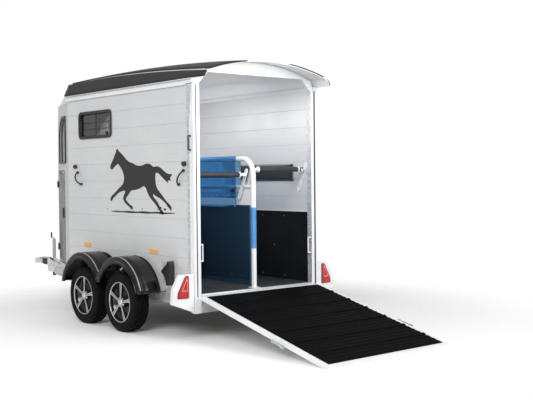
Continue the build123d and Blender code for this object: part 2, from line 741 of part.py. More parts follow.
# ------------------------------------------------------------------ partition and bars
def partition_frame():
    """Bent tube hoop between two floor plates, with a middle rail and a gusset at each post."""
    r = partition_tube_r
    foot_z = floor_z + 0.5
    path = FilletPolyline((partition_x, 0, foot_z), (partition_x, 0, partition_top_z),
                          (partition_front_x, 0, partition_top_z), (partition_front_x, 0, foot_z),
                          radius=partition_bend)
    start = Plane(origin=path @ 0, z_dir=path % 0)
    hoop = sweep(start * (Circle(r) - Circle(r - partition_skin)), path=path)
    rail_ends = (partition_x + r - 1, partition_front_x - r + 1)
    rail = rod((rail_ends[0], 0, partition_mid_z), (rail_ends[1], 0, partition_mid_z), 20)
    gussets = []
    for x0, x1 in ((partition_x + r - 1, 330), (partition_front_x - 250, partition_front_x - r + 1)):
        gussets.append(block(x0, x1, -2, 2, 1335, partition_mid_z))
    feet = []
    for x in (partition_x, partition_front_x):
        feet.append(block(x - 45, x + 45, -45, 45, floor_z, floor_z + 6))
    return hoop + rail + gussets[0] + gussets[1] + feet[0] + feet[1]


def partition_sheets():
    """Clear blue dividers, each with its hem, and the sleeve that laces the lower one to the rear post."""
    y = partition_tube_r + sheet_gap
    x0, x1 = 340.0, partition_front_x - sheet_end_gap
    top_z = partition_top_z + 30
    upper = block(x0, x1, y, y + 4, 1310, top_z)
    upper_back = block(x0, x1, -y - 4, -y, 1472, top_z)
    hem = block(x0, x1, -y - 4, -y, 1410, 1470)
    lower_x0 = partition_x + partition_tube_r + 24
    lower = block(lower_x0, x1, -2, 2, floor_z + 20, 1333)
    ring = Cylinder(partition_tube_r + 4, 434) - Cylinder(partition_tube_r + 0.6, 436)
    sleeve = Pos(partition_x, 0, 1095) * ring
    flap = block(partition_x + partition_tube_r + 3, lower_x0, -2, 2, 878, 1312)
    return [upper, upper_back, hem, lower, sleeve + flap]


def bracket_x(rear, z):
    """Where a bracket's axis is at a height. The rear pair leans back at the top, the front pair forward."""
    rise = (z - bracket_mid_z) * math.tan(math.radians(bracket_lean))
    return rump_bracket_x - rise if rear else breast_bracket_x + rise


def slanted_plate(rear, z, y0, y1):
    """Bar bracket: a rounded plate that leans, with three slots."""
    lean = bracket_lean if rear else -bracket_lean
    face = RectangleRounded(bracket_width, bracket_length, bracket_width / 2 - 1)
    for step in (-1, 0, 1):
        face -= Pos(0, step * 100 - 20) * SlotOverall(52, 14, rotation=90)
    turned = Pos(bracket_x(rear, z), z) * Rot(0, 0, lean) * face
    return extrude(Plane.XZ.offset(-y1) * turned, amount=y1 - y0)


def bar_bracket_pair(rear, z, side):
    """Partition bracket with its pivot fork, and wall bracket with the peg that the bar rests on."""
    x = bracket_x(rear, z)
    y0 = partition_tube_r + 2
    y1 = y0 + 6
    inner = slanted_plate(rear, bracket_mid_z - 68, y0, y1)
    boss_z = partition_mid_z - 60
    inner += rod((bracket_x(rear, boss_z), 2.2, boss_z), (bracket_x(rear, boss_z), y0 + 3, boss_z), 16)
    inner += block(x - 17, x + 17, y1 - 3, y1 + 6, z - 15, z + 15)
    for x0 in (x - 17, x + 10):
        inner += block(x0, x0 + 7, y1, bar_pivot_y + 14, z - 15, z + 15)
    inner += rod((x - 17, bar_pivot_y, z), (x + 17, bar_pivot_y, z), 8)
    plate_y = inner_y - 9
    outer = slanted_plate(rear, bracket_mid_z, plate_y, inner_y - 1)
    outer += block(x - 15, x + 15, plate_y - 4, plate_y + 2, z - 15, z + 15)
    outer += rod((x, bar_wall_y - 24, z), (x, plate_y, z), 8)
    pair = [inner, outer]
    return pair if side > 0 else [mirror(p, about=Plane.XZ) for p in pair]


def bar(x, z, side):
    """Padded bar: it pivots beside the partition, and its far end hooks over a peg on the wall."""
    def at(y):
        return (x, side * y, z)

    core = rod(at(bar_pivot_y + 24), at(bar_wall_y - 46), bar_core_r)
    pad = rod(at(bar_pivot_y + 60), at(bar_wall_y - 66), bar_pad_r)
    eye = rod((x - 9, side * bar_pivot_y, z), (x + 9, side * bar_pivot_y, z), 17)
    eye += block(x - 9, x + 9, min(side * bar_pivot_y, side * (bar_pivot_y + 30)),
                 max(side * bar_pivot_y, side * (bar_pivot_y + 30)), z - 12, z + 12)
    eye -= rod((x - 20, side * bar_pivot_y, z), (x + 20, side * bar_pivot_y, z), 8 + running_gap)
    hook_y = sorted((side * (bar_wall_y - 50), side * (bar_wall_y + 6)))
    hook = block(x - 20, x + 20, hook_y[0], hook_y[1], z - 22, z + 22)
    slot_y = sorted((side * (bar_wall_y - 26), side * (bar_wall_y + 8)))
    hook -= block(x - 8.4, x + 8.4, slot_y[0], slot_y[1], z - 30, z)
    hook -= rod((x, slot_y[0], z), (x, slot_y[1], z), 8.4)
    return core + pad + eye + hook


def release_knob(x, side):
    """Outside release pin: a knob on a shaft that passes through the wall."""
    face_y = body_half_width + 1.5
    shaft = rod((x, side * (inner_y + 1), knob_z), (x, side * face_y, knob_z), 6)
    cap = rod((x, side * face_y, knob_z), (x, side * (face_y + 34), knob_z), 24)
    return shaft + fillet(cap.edges().filter_by(GeomType.CIRCLE).sort_by(Axis.Y)[-1 if side > 0 else 0], 8)


# ------------------------------------------------------------------ wheels
def tyre(x, side):
    half = tyre_width / 2
    bead_r = rim_r - 17
    outline = []
    for sign in (-1, 1):
        ring = [(bead_r, half - 24), (rim_r + 2, half - 24), (rim_r + 4, half - 8), (wheel_r - 48, half),
                (wheel_r - 14, half - 9), (wheel_r, half - 26)]
        if sign > 0:
            ring.reverse()
        outline += [(r, sign * y) for r, y in ring]
    for sign in (1, -1):
        cavity = [(bead_r, half - 34), (rim_r + 10, half - 22), (wheel_r - 40, half - 14), (wheel_r - 14, half - 36)]
        if sign < 0:
            cavity.reverse()
        outline += [(r, sign * y) for r, y in cavity]
    body = revolve(make_face(Polyline(*outline, close=True)), axis=Axis.Y)
    return Pos(x, side * wheel_mid_y, wheel_r) * body


def rim(x, side):
    """Alloy wheel: barrel, five twin spokes, hub and brake drum, all turning on the spindle."""
    half = tyre_width / 2
    seat = rim_r - 17.3
    flange0, flange1 = half - 22, half - 10
    outside = [(rim_r, flange1), (rim_r, flange0), (seat, flange0), (seat, half - 46), (seat - 30, 28),
               (seat - 30, -22), (seat, -half + 46), (seat, -flange0), (rim_r, -flange0), (rim_r, -flange1)]
    inside = [(rim_r - 8, -flange1), (rim_r - 8, -flange0 - 6), (seat - 6, -half + 28), (seat - 6, -half + 46),
              (seat - 36, -24), (seat - 36, 30), (seat - 6, half - 42), (seat - 6, half - 28),
              (rim_r - 8, flange0 + 6), (rim_r - 8, flange1)]
    wheel = revolve(make_face(Polyline(*(outside + inside), close=True)), axis=Axis.Y)
    face_y0, face_y1 = half - 46, half - 22
    wheel += rod((0, face_y0, 0), (0, face_y1, 0), 58)
    reach = seat - 3
    for i in range(5):
        for shift in (-5.0, 5.0):
            arm = Pos(30 + (reach - 30) / 2, (face_y0 + face_y1) / 2, 0) * Box(reach - 30, face_y1 - face_y0, 17)
            wheel += Rot(0, -(90 + 72 * i + shift), 0) * arm
    wheel += rod((0, -12, 0), (0, face_y0, 0), 62)
    wheel += rod((0, -58, 0), (0, -12, 0), 112)
    wheel -= rod((0, -80, 0), (0, 66, 0), hub_bore_r)
    if side < 0:
        wheel = mirror(wheel, about=Plane.XZ)
    return Pos(x, side * wheel_mid_y, wheel_r) * wheel


# ------------------------------------------------------------------ ramp
def lowered(shape):
    """Turns a ramp part from its flat drawing (hinge at the origin, reaching to -X) to its lowered place."""
    return Pos(ramp_pivot_x, 0, ramp_pivot_z) * Rot(0, -ramp_angle, 0) * shape


def ramp():
    w = ramp_half_width
    x_near, x_far = -16.0, -ramp_length
    panel = block(x_far + ramp_edge, x_near - ramp_edge, -w + ramp_edge, w - ramp_edge, ramp_bottom + 2, ramp_top - 1)
    sides = both_sides(block(x_far, x_near, w - ramp_edge + 0.2, w, ramp_bottom, ramp_top))
    near = block(x_near - ramp_edge + 0.2, x_near, -w + 2, w - 2, ramp_bottom, ramp_top)
    far = block(x_far, x_far + ramp_edge - 0.2, -w + 2, w - 2, ramp_bottom, ramp_top)
    frame = sides[0] + sides[1] + near + far
    for y in (140 - w, -220.0, 220.0, w - 140):
        knuckle = rod((0, y - 40, 0), (0, y + 40, 0), 13)
        strap = block(-60, -6, y - 40, y + 40, -13, ramp_bottom)
        frame += knuckle + strap - rod((0, y - 45, 0), (0, y + 45, 0), hinge_rod_r + running_gap)
    for side in (1, -1):
        frame += rod((-1200, side * (w - 5), 8), (-1200, side * (w + 38), 8), 7)
    mat_y = w - ramp_mat_inset
    mat = block(x_far + ramp_edge + 12, x_near - 26, -mat_y, mat_y, ramp_top, ramp_top + ramp_mat_t)
    for i in range(1, 7):
        x = x_near - 12 - cleat_pitch * i
        cleat = slab_xz([(x - 18, ramp_top + 2), (x - 10, ramp_top + ramp_mat_t + cleat_h),
                         (x + 10, ramp_top + ramp_mat_t + cleat_h), (x + 18, ramp_top + 2)], -mat_y, mat_y)
        mat += cleat
    foot_cut = Pos(0, 0, -500) * Box(9000, 3000, 1000)
    frame = lowered(frame) - foot_cut
    return lowered(panel) - foot_cut, frame, lowered(mat)


def ramp_hinge():
    """Hinge rod and the body-side lugs that carry it."""
    r = hinge_rod_r
    end_y = ramp_half_width - 55
    shaft = rod((ramp_pivot_x, -end_y, ramp_pivot_z), (ramp_pivot_x, end_y, ramp_pivot_z), r)
    for y in (10 - end_y, -440.0, 0.0, 440.0, end_y - 10):
        lug = slab_xz([(-0.5, ramp_pivot_z - 60), (-0.5, ramp_pivot_z + 1), (ramp_pivot_x - 7, ramp_pivot_z + 11),
                       (ramp_pivot_x - 7, ramp_pivot_z - 12)], y - 8, y + 8)
        shaft += lug
    return shaft


def ramp_latch(side):
    """Over-centre lever on the ramp's edge that hooks the door post when the ramp is shut."""
    y0, y1 = sorted((side * (ramp_half_width + 39), side * (ramp_half_width + 47)))
    arm = block(-1372, -1180, y0, y1, -5, 21)
    y0, y1 = sorted((side * (ramp_half_width + 39), side * (ramp_half_width + 62)))
    grip = block(-1372, -1330, y0, y1, -5, 21)
    arm = arm + grip + rod((-1200, side * (ramp_half_width + 39), 8), (-1200, side * (ramp_half_width + 47), 8), 18)
    arm -= rod((-1200, side * (ramp_half_width + 20), 8), (-1200, side * (ramp_half_width + 80), 8), 7 + running_gap)
    return lowered(arm)


# ------------------------------------------------------------------ tack-room door
def tack_door():
    panel = on_nose(door_s0 + door_gap, door_s1 - door_gap, door_z0 + door_gap, door_z1 - door_gap, -nose_t, 2, 41)
    frame = nose_frame()
    pivot = frame.from_local_coords(Vector(door_s1 + 14, 0, 14))
    leaves = []
    for z in door_hinge_z:
        barrel = rod((pivot.X, pivot.Y, z - 40), (pivot.X, pivot.Y, z + 40), 9)
        leaf = on_nose(door_s1 - 60, door_s1 + 14, z - 30, z + 30, 1.5, 9)
        leaves.append(barrel + leaf - rod((pivot.X, pivot.Y, z - 60), (pivot.X, pivot.Y, z + 60), 5 + running_gap))
    spigot = frame.from_local_coords(Vector(door_s0 + 62, 0, 0))
    out = frame.z_dir
    a = spigot + out * 2
    b = spigot + out * 22
    root, far = a - out * 9, b + out * 9
    inside = a - out * 3
    z = door_latch_z
    boss = rod((a.X, a.Y, z), (b.X, b.Y, z), 13)
    panel += rod((inside.X, inside.Y, z), (b.X, b.Y, z), 8)
    door = panel + leaves[0] + leaves[1]
    latch_hub = boss - rod((root.X, root.Y, z), (far.X, far.Y, z), 8 + running_gap)
    arm = on_nose(door_s0 + 50, door_s0 + 74, z + 11, z + 112, 8, 18, 8)
    latch = latch_hub + arm
    pins = []
    for z in door_hinge_z:
        pin = rod((pivot.X, pivot.Y, z - 52), (pivot.X, pivot.Y, z + 52), 5)
        for end in (-52, 42):
            lug = on_nose(door_s1 + 9, door_s1 + 19, z + end, z + end + 10, 0.5, 18)
            foot = on_nose(door_s1 + 9, door_s1 + 40, z + end, z + end + 10, 0.5, 7)
            pin += lug + foot
        pins.append(pin)
    return door, latch, pins


# ------------------------------------------------------------------ hitch
def overrun_housing():
    """Housing that guides the drawtube, with the handbrake pivot and the clamp of the jockey wheel."""
    z0 = drawbar_z0 + drawbar_h
    body = block(housing_x0, housing_x1, -45, 45, z0, tube_z + 46)
    body = fillet(body.edges().filter_by(Axis.X), 14)
    body += block(housing_x0 + 10, housing_x0 + 130, -96, 96, z0, z0 + 8)
    body += block(housing_x1 - 250, housing_x1, -40, 40, drawbar_z0 + 6, z0)
    body += rod((handbrake_x, 40, handbrake_z), (handbrake_x, 74, handbrake_z), 8)
    clamp_z0, clamp_z1 = tube_z + 18, tube_z + 44
    body += block(housing_x1 - 90, housing_x1 - 2, -78, -40, clamp_z0, clamp_z1)
    body += block(housing_x1 - 60, jockey_x + 30, -78, -52, clamp_z0, clamp_z1)
    body += block(jockey_x - 30, jockey_x + 30, jockey_y - 30, -60, clamp_z0, clamp_z1)
    body -= rod((jockey_x, jockey_y, z0), (jockey_x, jockey_y, z0 + 200), jockey_tube_r + running_gap)
    bore_x0 = housing_x1 - drawtube_grip - overrun_travel - 10
    body -= rod((bore_x0, 0, tube_z), (housing_x1 + 5, 0, tube_z), drawtube_r + running_gap)
    return body


def coupling_head():
    """Drawtube and ball coupling. The socket is round up to the ball's middle and domed above it."""
    head_x0, head_x1 = gaiter_end_x + 4, ball_x - 6
    tube = rod((housing_x1 - drawtube_grip, 0, tube_z), (head_x0 + 40, 0, tube_z), drawtube_r)
    body = block(head_x0, head_x1, -36, 36, tube_z - 26, tube_z + 30)
    body += rod((ball_x, 0, ball_z - 18), (ball_x, 0, tube_z + 38), hitch_front_x - ball_x)
    socket_r = ball_r + 0.5
    body -= Pos(ball_x, 0, ball_z) * Sphere(socket_r)
    body -= rod((ball_x, 0, ball_z - 40), (ball_x, 0, ball_z), socket_r)
    for y in (-36.0, 28.0):
        body += block(lever_x - 20, lever_x + 20, y, y + 8, tube_z + 25, lever_z + 10)
    body += rod((lever_x, -46, lever_z), (lever_x, 46, lever_z), 6)
    return tube + body


def gaiter():
    """Rubber bellows over the drawtube."""
    x0, x1 = housing_x1 + 4, gaiter_end_x
    folds = 5
    pitch = (x1 - x0) / folds
    outline = [(x0, drawtube_r + 3)]
    for i in range(folds):
        outline += [(x0 + pitch * (i + 0.15), 36), (x0 + pitch * (i + 0.5), 45), (x0 + pitch * (i + 0.85), 36)]
    outline += [(x1, drawtube_r + 3), (x1, drawtube_r + 0.6), (x0, drawtube_r + 0.6)]
    face = make_face(Polyline(*outline, close=True))
    return Pos(0, 0, tube_z) * revolve(face, axis=Axis.X)


def coupling_lever():
    x, z = lever_x, lever_z
    hub = rod((x, -26, z), (x, 26, z), 12)
    arm = slab_xz([(x - 10, z - 8), (x + 6, z + 12), (x - 100, z + 26), (x - 184, z + 20), (x - 184, z + 6),
                   (x - 100, z + 8)], -15, 15)
    cross = block(x - 190, x - 170, -48, 48, z + 4, z + 22)
    return hub + arm + cross - rod((x, -60, z), (x, 60, z), 6 + running_gap)


def handbrake():
    x, z = handbrake_x, handbrake_z
    hub = rod((x, 50, z), (x, 70, z), 20)
    arm = slab_xz([(x - 12, z + 8), (x + 12, z + 4), (x + 190, z + 32), (x + 184, z + 52)], 54, 66)
    grip = rod((x + 140, 60, z + 32), (x + 250, 60, z + 55), 14)
    return hub + arm + grip - rod((x, 30, z), (x, 90, z), 8 + running_gap)


def jockey():
    """Outer tube, inner tube with fork, small wheel and crank."""
    x, y = jockey_x, jockey_y
    axle_z = jockey_bottom_z + jockey_wheel_r
    crown_z = axle_z + jockey_wheel_r + 8
    tube_bottom, tube_top = crown_z + 12, 742.0
    outer = rod((x, y, tube_bottom), (x, y, tube_top), jockey_tube_r)
    outer -= rod((x, y, tube_bottom - 10), (x, y, tube_top - 6), jockey_tube_r - 4)
    turn = math.radians(jockey_steer)
    ax, ay = math.sin(turn), math.cos(turn)
    frame = Plane(origin=(x, y, 0), x_dir=(ay, -ax, 0), z_dir=(0, 0, 1))
    tube = rod((x, y, crown_z), (x, y, tube_top - 40), jockey_tube_r - 4.5)
    tube += frame * (Pos(0, 0, crown_z + 4) * Box(50, 84, 8))
    for side in (1, -1):
        tube += frame * (Pos(0, side * 38, (axle_z - 20 + crown_z + 8) / 2) * Box(40, 6, crown_z + 28 - axle_z))
    reach = 44.0
    tube += rod((x - ax * reach, y - ay * reach, axle_z), (x + ax * reach, y + ay * reach, axle_z), 8)
    disc = Cylinder(jockey_wheel_r, jockey_wheel_w)
    disc = fillet(disc.edges().filter_by(GeomType.CIRCLE), 14) - Cylinder(8 + running_gap, 200)
    wheel = Pos(x, y, axle_z) * Rot(0, 0, -jockey_steer) * Rot(-90, 0, 0) * disc
    crank = rod((x, y, tube_top + 0.5), (x, y, tube_top + 18), 12)
    crank += block(x - 8, x + 92, y - 8, y + 8, tube_top + 10, tube_top + 20)
    crank += rod((x + 82, y, tube_top + 16), (x + 82, y, tube_top + 96), 11)
    return outer, tube, wheel, crank


# ------------------------------------------------------------------ the whole trailer
def build_body():
    node("chassis_frame", chassis(), drawbar())
    node("axles", axle(rear_axle_x), axle(front_axle_x))
    deck, mat = floor()
    node("floor_deck", deck)
    node("floor_mat", mat)
    node("side_wall_left", side_wall(True))
    node("side_wall_right", [mirror(p, about=Plane.XZ) for p in side_wall(False)])
    node("nose_shell", nose())
    node("bulkhead", bulkhead())
    node("rear_portal", rear_posts(), rear_header())
    node("eaves_rails", top_rails())
    node("roof_shell", roof_main(), nose_cap())
    node("roof_side_covers", roof_side_covers())
    node("kick_panels", kick_panels())
    node("wall_pads", wall_pads())
    guard, stays = fender()
    node("fenders", both_sides(guard), [both_sides(s) for s in stays])
    node("outer_handles", handles())
    node("side_reflectors", side_reflectors())
    housings, lenses = rear_lights()
    node("rear_light_housings", housings)
    node("rear_light_lenses", lenses)
    chock, holder = chock_parts()
    node("chock_holder", holder)
    node("wheel_chock", chock)


def build_openings():
    window_frame, fixed_pane, sliding_pane = side_window()
    bezel, nose_pane = nose_window()
    node("window_frames", window_frame, bezel)
    node("fixed_panes", fixed_pane, nose_pane)
    node("sliding_pane", sliding_pane)
    door, latch, door_pins = tack_door()
    node("tack_door", door)
    node("tack_door_latch", latch)
    panel, frame, ramp_mat = ramp()
    node("ramp_panel", panel)
    node("ramp_frame", frame)
    node("ramp_mat", ramp_mat)
    node("hinge_pins", ramp_hinge(), door_pins)
    for hand, side in (("left", 1), ("right", -1)):
        node(f"ramp_latch_{hand}", ramp_latch(side))


def build_stalls():
    node("partition_frame", partition_frame())
    node("partition_sheets", partition_sheets())
    brackets = []
    for name, rear, knob_x in (("rump", True, rump_knob_x), ("breast", False, breast_knob_x)):
        for hand, side, z in (("left", 1, left_bar_z), ("right", -1, right_bar_z)):
            node(f"{name}_bar_{hand}", bar(bracket_x(rear, z), z, side))
            node(f"{name}_knob_{hand}", release_knob(knob_x, side))
            brackets += bar_bracket_pair(rear, z, side)
    node("bar_brackets", brackets)


def build_running_gear():
    for end, x in (("rear", rear_axle_x), ("front", front_axle_x)):
        for hand, side in (("left", 1), ("right", -1)):
            node(f"tyre_{end}_{hand}", tyre(x, side))
            node(f"rim_{end}_{hand}", rim(x, side))
    node("overrun_housing", overrun_housing())
    node("coupling_head", coupling_head())
    node("drawtube_gaiter", gaiter())
    node("coupling_lever", coupling_lever())
    node("handbrake_lever", handbrake())
    outer, tube, wheel, crank = jockey()
    node("jockey_outer_tube", outer)
    node("jockey_inner_tube", tube)
    node("jockey_wheel", wheel)
    node("jockey_crank", crank)


def save_all():
    """Moves everything so that the origin is under the middle of the trailer, and writes one file per part."""
    boxes = [s.bounding_box() for part in nodes.values() for s in part]
    middle = (min(b.min.X for b in boxes) + max(b.max.X for b in boxes)) / 2
    os.makedirs("parts", exist_ok=True)
    for name, part in nodes.items():
        moved = [Pos(-middle, 0, 0) * s for s in part]
        shape = moved[0] if len(moved) == 1 else Compound(children=moved)
        export_step(shape, f"parts/{name}.step")
    print("origin is", round(middle, 4), "mm forward of the posts;", len(nodes), "parts")


build_body()
build_openings()
build_stalls()
build_running_gear()
save_all()
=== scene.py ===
import bmesh
import bpy
import json
from math import atan2, cos, hypot, pi, radians, sin, sqrt
from mathutils import Matrix, Vector


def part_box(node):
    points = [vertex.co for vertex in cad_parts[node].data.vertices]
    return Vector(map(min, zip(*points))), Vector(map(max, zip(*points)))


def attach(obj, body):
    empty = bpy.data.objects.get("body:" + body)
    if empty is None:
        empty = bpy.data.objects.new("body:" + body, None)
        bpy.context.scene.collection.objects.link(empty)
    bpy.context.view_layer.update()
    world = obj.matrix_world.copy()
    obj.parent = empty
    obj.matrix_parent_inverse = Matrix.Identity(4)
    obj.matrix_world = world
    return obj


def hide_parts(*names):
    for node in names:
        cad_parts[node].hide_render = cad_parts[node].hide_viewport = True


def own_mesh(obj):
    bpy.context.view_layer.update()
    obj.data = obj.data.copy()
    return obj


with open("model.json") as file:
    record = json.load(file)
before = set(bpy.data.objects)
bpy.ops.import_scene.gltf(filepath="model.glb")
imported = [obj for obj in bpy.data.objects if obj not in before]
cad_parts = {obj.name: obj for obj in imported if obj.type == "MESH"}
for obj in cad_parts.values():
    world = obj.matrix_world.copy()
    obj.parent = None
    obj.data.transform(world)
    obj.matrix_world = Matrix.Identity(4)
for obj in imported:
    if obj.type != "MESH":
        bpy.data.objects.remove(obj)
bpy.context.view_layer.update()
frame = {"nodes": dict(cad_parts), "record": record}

# The trailer's own origin is the rear face of its door posts. Sizes below are in millimetres from there:
# x towards the tow hitch, y to the left and z up from the ground.
scene = bpy.context.scene
X0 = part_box("rear_portal")[0].x + 0.010
SIDES = ((1, "left"), (-1, "right"))


def at(x, y, z):
    return Vector((X0 + x / 1000, y / 1000, z / 1000))


# ---------------------------------------------------------------- camera, light and floor
# The trailer is looked at from behind and from its left, from the height of its padded bars. It stands on a plain
# pale floor that fades out around it, under large soft lamps.
camera = bpy.data.objects.new("camera", bpy.data.cameras.new("camera"))
scene.collection.objects.link(camera)
yaw, pitch, roll = radians(-39.71), radians(-1.533), radians(-0.553)
ahead = Vector((cos(yaw) * cos(pitch), sin(yaw) * cos(pitch), sin(pitch)))
flat_right = Vector((sin(yaw), -cos(yaw), 0))
flat_up = flat_right.cross(ahead)
right = flat_right * cos(roll) + flat_up * sin(roll)
up = flat_up * cos(roll) - flat_right * sin(roll)
pose = Matrix((right, up, -ahead)).transposed().to_4x4()
pose.translation = at(-7495, 6110, 1649)
camera.matrix_world = pose
camera.data.sensor_width, camera.data.lens = 36.0, 61.87
camera.data.clip_end = 200.0
scene.camera = camera
scene.view_settings.view_transform = "Standard"


def soft_lamp(name, place, target, size, power):
    lamp = bpy.data.objects.new(name, bpy.data.lights.new(name, "AREA"))
    lamp.data.shape = "RECTANGLE"
    lamp.data.size, lamp.data.size_y = size
    lamp.data.energy = power
    lamp.location = place
    lamp.rotation_euler = (target - place).to_track_quat("-Z", "Y").to_euler()
    lamp.visible_camera = False
    scene.collection.objects.link(lamp)


soft_lamp("lamp_rear_left", Vector((-7.0, 7.5, 6.5)), Vector((0, 0, 1.2)), (5.0, 4.0), 620.0)
soft_lamp("lamp_rear", Vector((-9.5, -2.0, 4.0)), Vector((-1.0, 0, 1.4)), (4.0, 4.0), 330.0)
soft_lamp("lamp_stalls", at(1750, 350, 2350), at(1750, -800, 1550), (1.6, 0.5), 11.0)
soft_lamp("lamp_deck", at(-600, 300, 2300), at(1500, -300, 500), (1.2, 1.2), 9.0)
soft_lamp("lamp_front", Vector((7.5, 4.0, 5.5)), Vector((1.0, 0, 1.4)), (5.0, 4.0), 220.0)
bpy.data.objects["lamp_front"].visible_glossy = False


def add_node(tree, kind, given=(), **settings):
    """Shader node. given holds its inputs, each a constant or another node's output."""
    made = tree.nodes.new("ShaderNode" + kind)
    for key, value in settings.items():
        setattr(made, key, value)
    for key, value in dict(given).items():
        if isinstance(value, bpy.types.NodeSocket):
            tree.links.new(value, made.inputs[key])
        else:
            made.inputs[key].default_value = value
    return made


world = bpy.data.worlds.new("studio")
scene.world = world
world.use_nodes = True
SKY_LIGHT, SKY_SEEN = 0.55, 1.0
sky = world.node_tree.nodes["Background"]
sky.inputs["Color"].default_value = (1.0, 1.0, 1.0, 1.0)
seen = add_node(world.node_tree, "LightPath").outputs["Is Camera Ray"]
level = add_node(world.node_tree, "MapRange", {"Value": seen, "To Min": SKY_LIGHT, "To Max": SKY_SEEN})
world.node_tree.links.new(level.outputs[0], sky.inputs["Strength"])


def place_mesh(name, bm):
    """Turns a bmesh into an object of the scene."""
    mesh = bpy.data.meshes.new(name)
    bm.to_mesh(mesh)
    bm.free()
    made = bpy.data.objects.new(name, mesh)
    scene.collection.objects.link(made)
    return made


FADE_FROM, FADE_TO = 2.4, 4.6
bm = bmesh.new()
bmesh.ops.create_grid(bm, x_segments=4, y_segments=4, size=60.0)
studio_floor = place_mesh("studio_floor", bm)
floor_paint = bpy.data.materials.new("studio_floor")
floor_paint.use_nodes = True
tree = floor_paint.node_tree
skin = tree.nodes["Principled BSDF"]
skin.inputs["Base Color"].default_value = (0.93, 0.93, 0.93, 1.0)
skin.inputs["Roughness"].default_value = 0.7
reach = add_node(tree, "VectorMath", {0: add_node(tree, "TexCoord").outputs["Object"], 1: at(1300, 0, 0)},
                 operation="DISTANCE").outputs["Value"]
edge = add_node(tree, "MapRange", {"Value": reach, "From Min": FADE_FROM, "From Max": FADE_TO, "To Min": 1.0,
                                   "To Max": 0.0}, interpolation_type="SMOOTHSTEP")
tree.links.new(edge.outputs[0], skin.inputs["Alpha"])
studio_floor.data.materials.append(floor_paint)


# ---------------------------------------------------------------- chassis and axles
# Hot-dip galvanised box sections: side rails, cross members and the two drawbar rails under the body, and the
# torsion axles. They are welded and then dipped, so the zinc shows as a grey spangle.
def new_group(name, inputs, outputs):
    """Node group over object coordinates. A default of four numbers makes a colour input, and an output called
    Colour is a colour; the others are plain values."""
    tree = bpy.data.node_groups.new(name, "ShaderNodeTree")
    for label, value in inputs.items():
        kind = "NodeSocketColor" if isinstance(value, tuple) else "NodeSocketFloat"
        tree.interface.new_socket(label, in_out="INPUT", socket_type=kind).default_value = value
    for label in outputs:
        kind = "NodeSocketColor" if label == "Colour" else "NodeSocketFloat"
        tree.interface.new_socket(label, in_out="OUTPUT", socket_type=kind)
    place = add_node(tree, "TexCoord").outputs["Object"]
    return tree, place, tree.nodes.new("NodeGroupInput").outputs, tree.nodes.new("NodeGroupOutput").inputs


def give_out(tree, out, **sources):
    for label, source in sources.items():
        tree.links.new(source, out[label])
    return tree


def mixed(tree, factor, first, second, blend="MIX"):
    return add_node(tree, "Mix", {"Factor": factor, 6: first, 7: second}, data_type="RGBA",
                    blend_type=blend).outputs[2]


def maths(tree, operation, *terms, clamp=False):
    return add_node(tree, "Math", dict(enumerate(terms)), operation=operation, use_clamp=clamp).outputs[0]


def build_finish():
    """Colour that drifts over the surface, fine grain, and road dust that thickens towards the ground."""
    tree, place, given, out = new_group(
        "surface_finish",
        {"Colour": (0.5, 0.5, 0.5, 1), "Shade": (0.4, 0.4, 0.4, 1), "Drift Scale": 3.0, "Grain Scale": 300.0,
         "Smooth": 0.3, "Rough": 0.5, "Dust": 0.1}, ("Colour", "Roughness", "Height"))
    drift = add_node(tree, "TexNoise", {"Vector": place, "Scale": given["Drift Scale"], "Detail": 4.0,
                                        "Roughness": 0.6}).outputs["Fac"]
    grain = add_node(tree, "TexNoise", {"Vector": place, "Scale": given["Grain Scale"], "Detail": 2.0}).outputs["Fac"]
    spread = add_node(tree, "MapRange", {"Value": drift, "From Min": 0.35, "From Max": 0.65}).outputs[0]
    height = add_node(tree, "SeparateXYZ", {0: place}).outputs["Z"]
    low = add_node(tree, "MapRange", {"Value": height, "From Min": 1.1, "From Max": 0.25},
                   interpolation_type="SMOOTHSTEP").outputs[0]
    dust = maths(tree, "MULTIPLY", maths(tree, "MULTIPLY", low, drift), given["Dust"], clamp=True)
    clean = mixed(tree, spread, given["Colour"], given["Shade"])
    rough = add_node(tree, "MapRange", {"Value": maths(tree, "ADD", spread, grain), "From Min": 0.2, "From Max": 1.5,
                                        "To Min": given["Smooth"], "To Max": given["Rough"]}).outputs[0]
    return give_out(tree, out, Colour=mixed(tree, dust, clean, (0.36, 0.33, 0.29, 1)),
                    Roughness=maths(tree, "MULTIPLY_ADD", dust, 0.5, rough, clamp=True), Height=grain)


surface_finish = build_finish()


def add_relief(made, height, strength, distance, keep=True):
    """Bumps a material's surface, on top of the relief that it has."""
    normal = made.node_tree.nodes["Principled BSDF"].inputs["Normal"]
    given = {"Height": height, "Strength": strength, "Distance": distance}
    if keep and normal.is_linked:
        given["Normal"] = normal.links[0].from_socket
    made.node_tree.links.new(add_node(made.node_tree, "Bump", given).outputs["Normal"], normal)


def tint(made, factor, other, blend="MIX"):
    """Mixes another colour into a material's base colour."""
    base = made.node_tree.nodes["Principled BSDF"].inputs["Base Color"]
    made.node_tree.links.new(mixed(made.node_tree, factor, base.links[0].from_socket, other, blend), base)


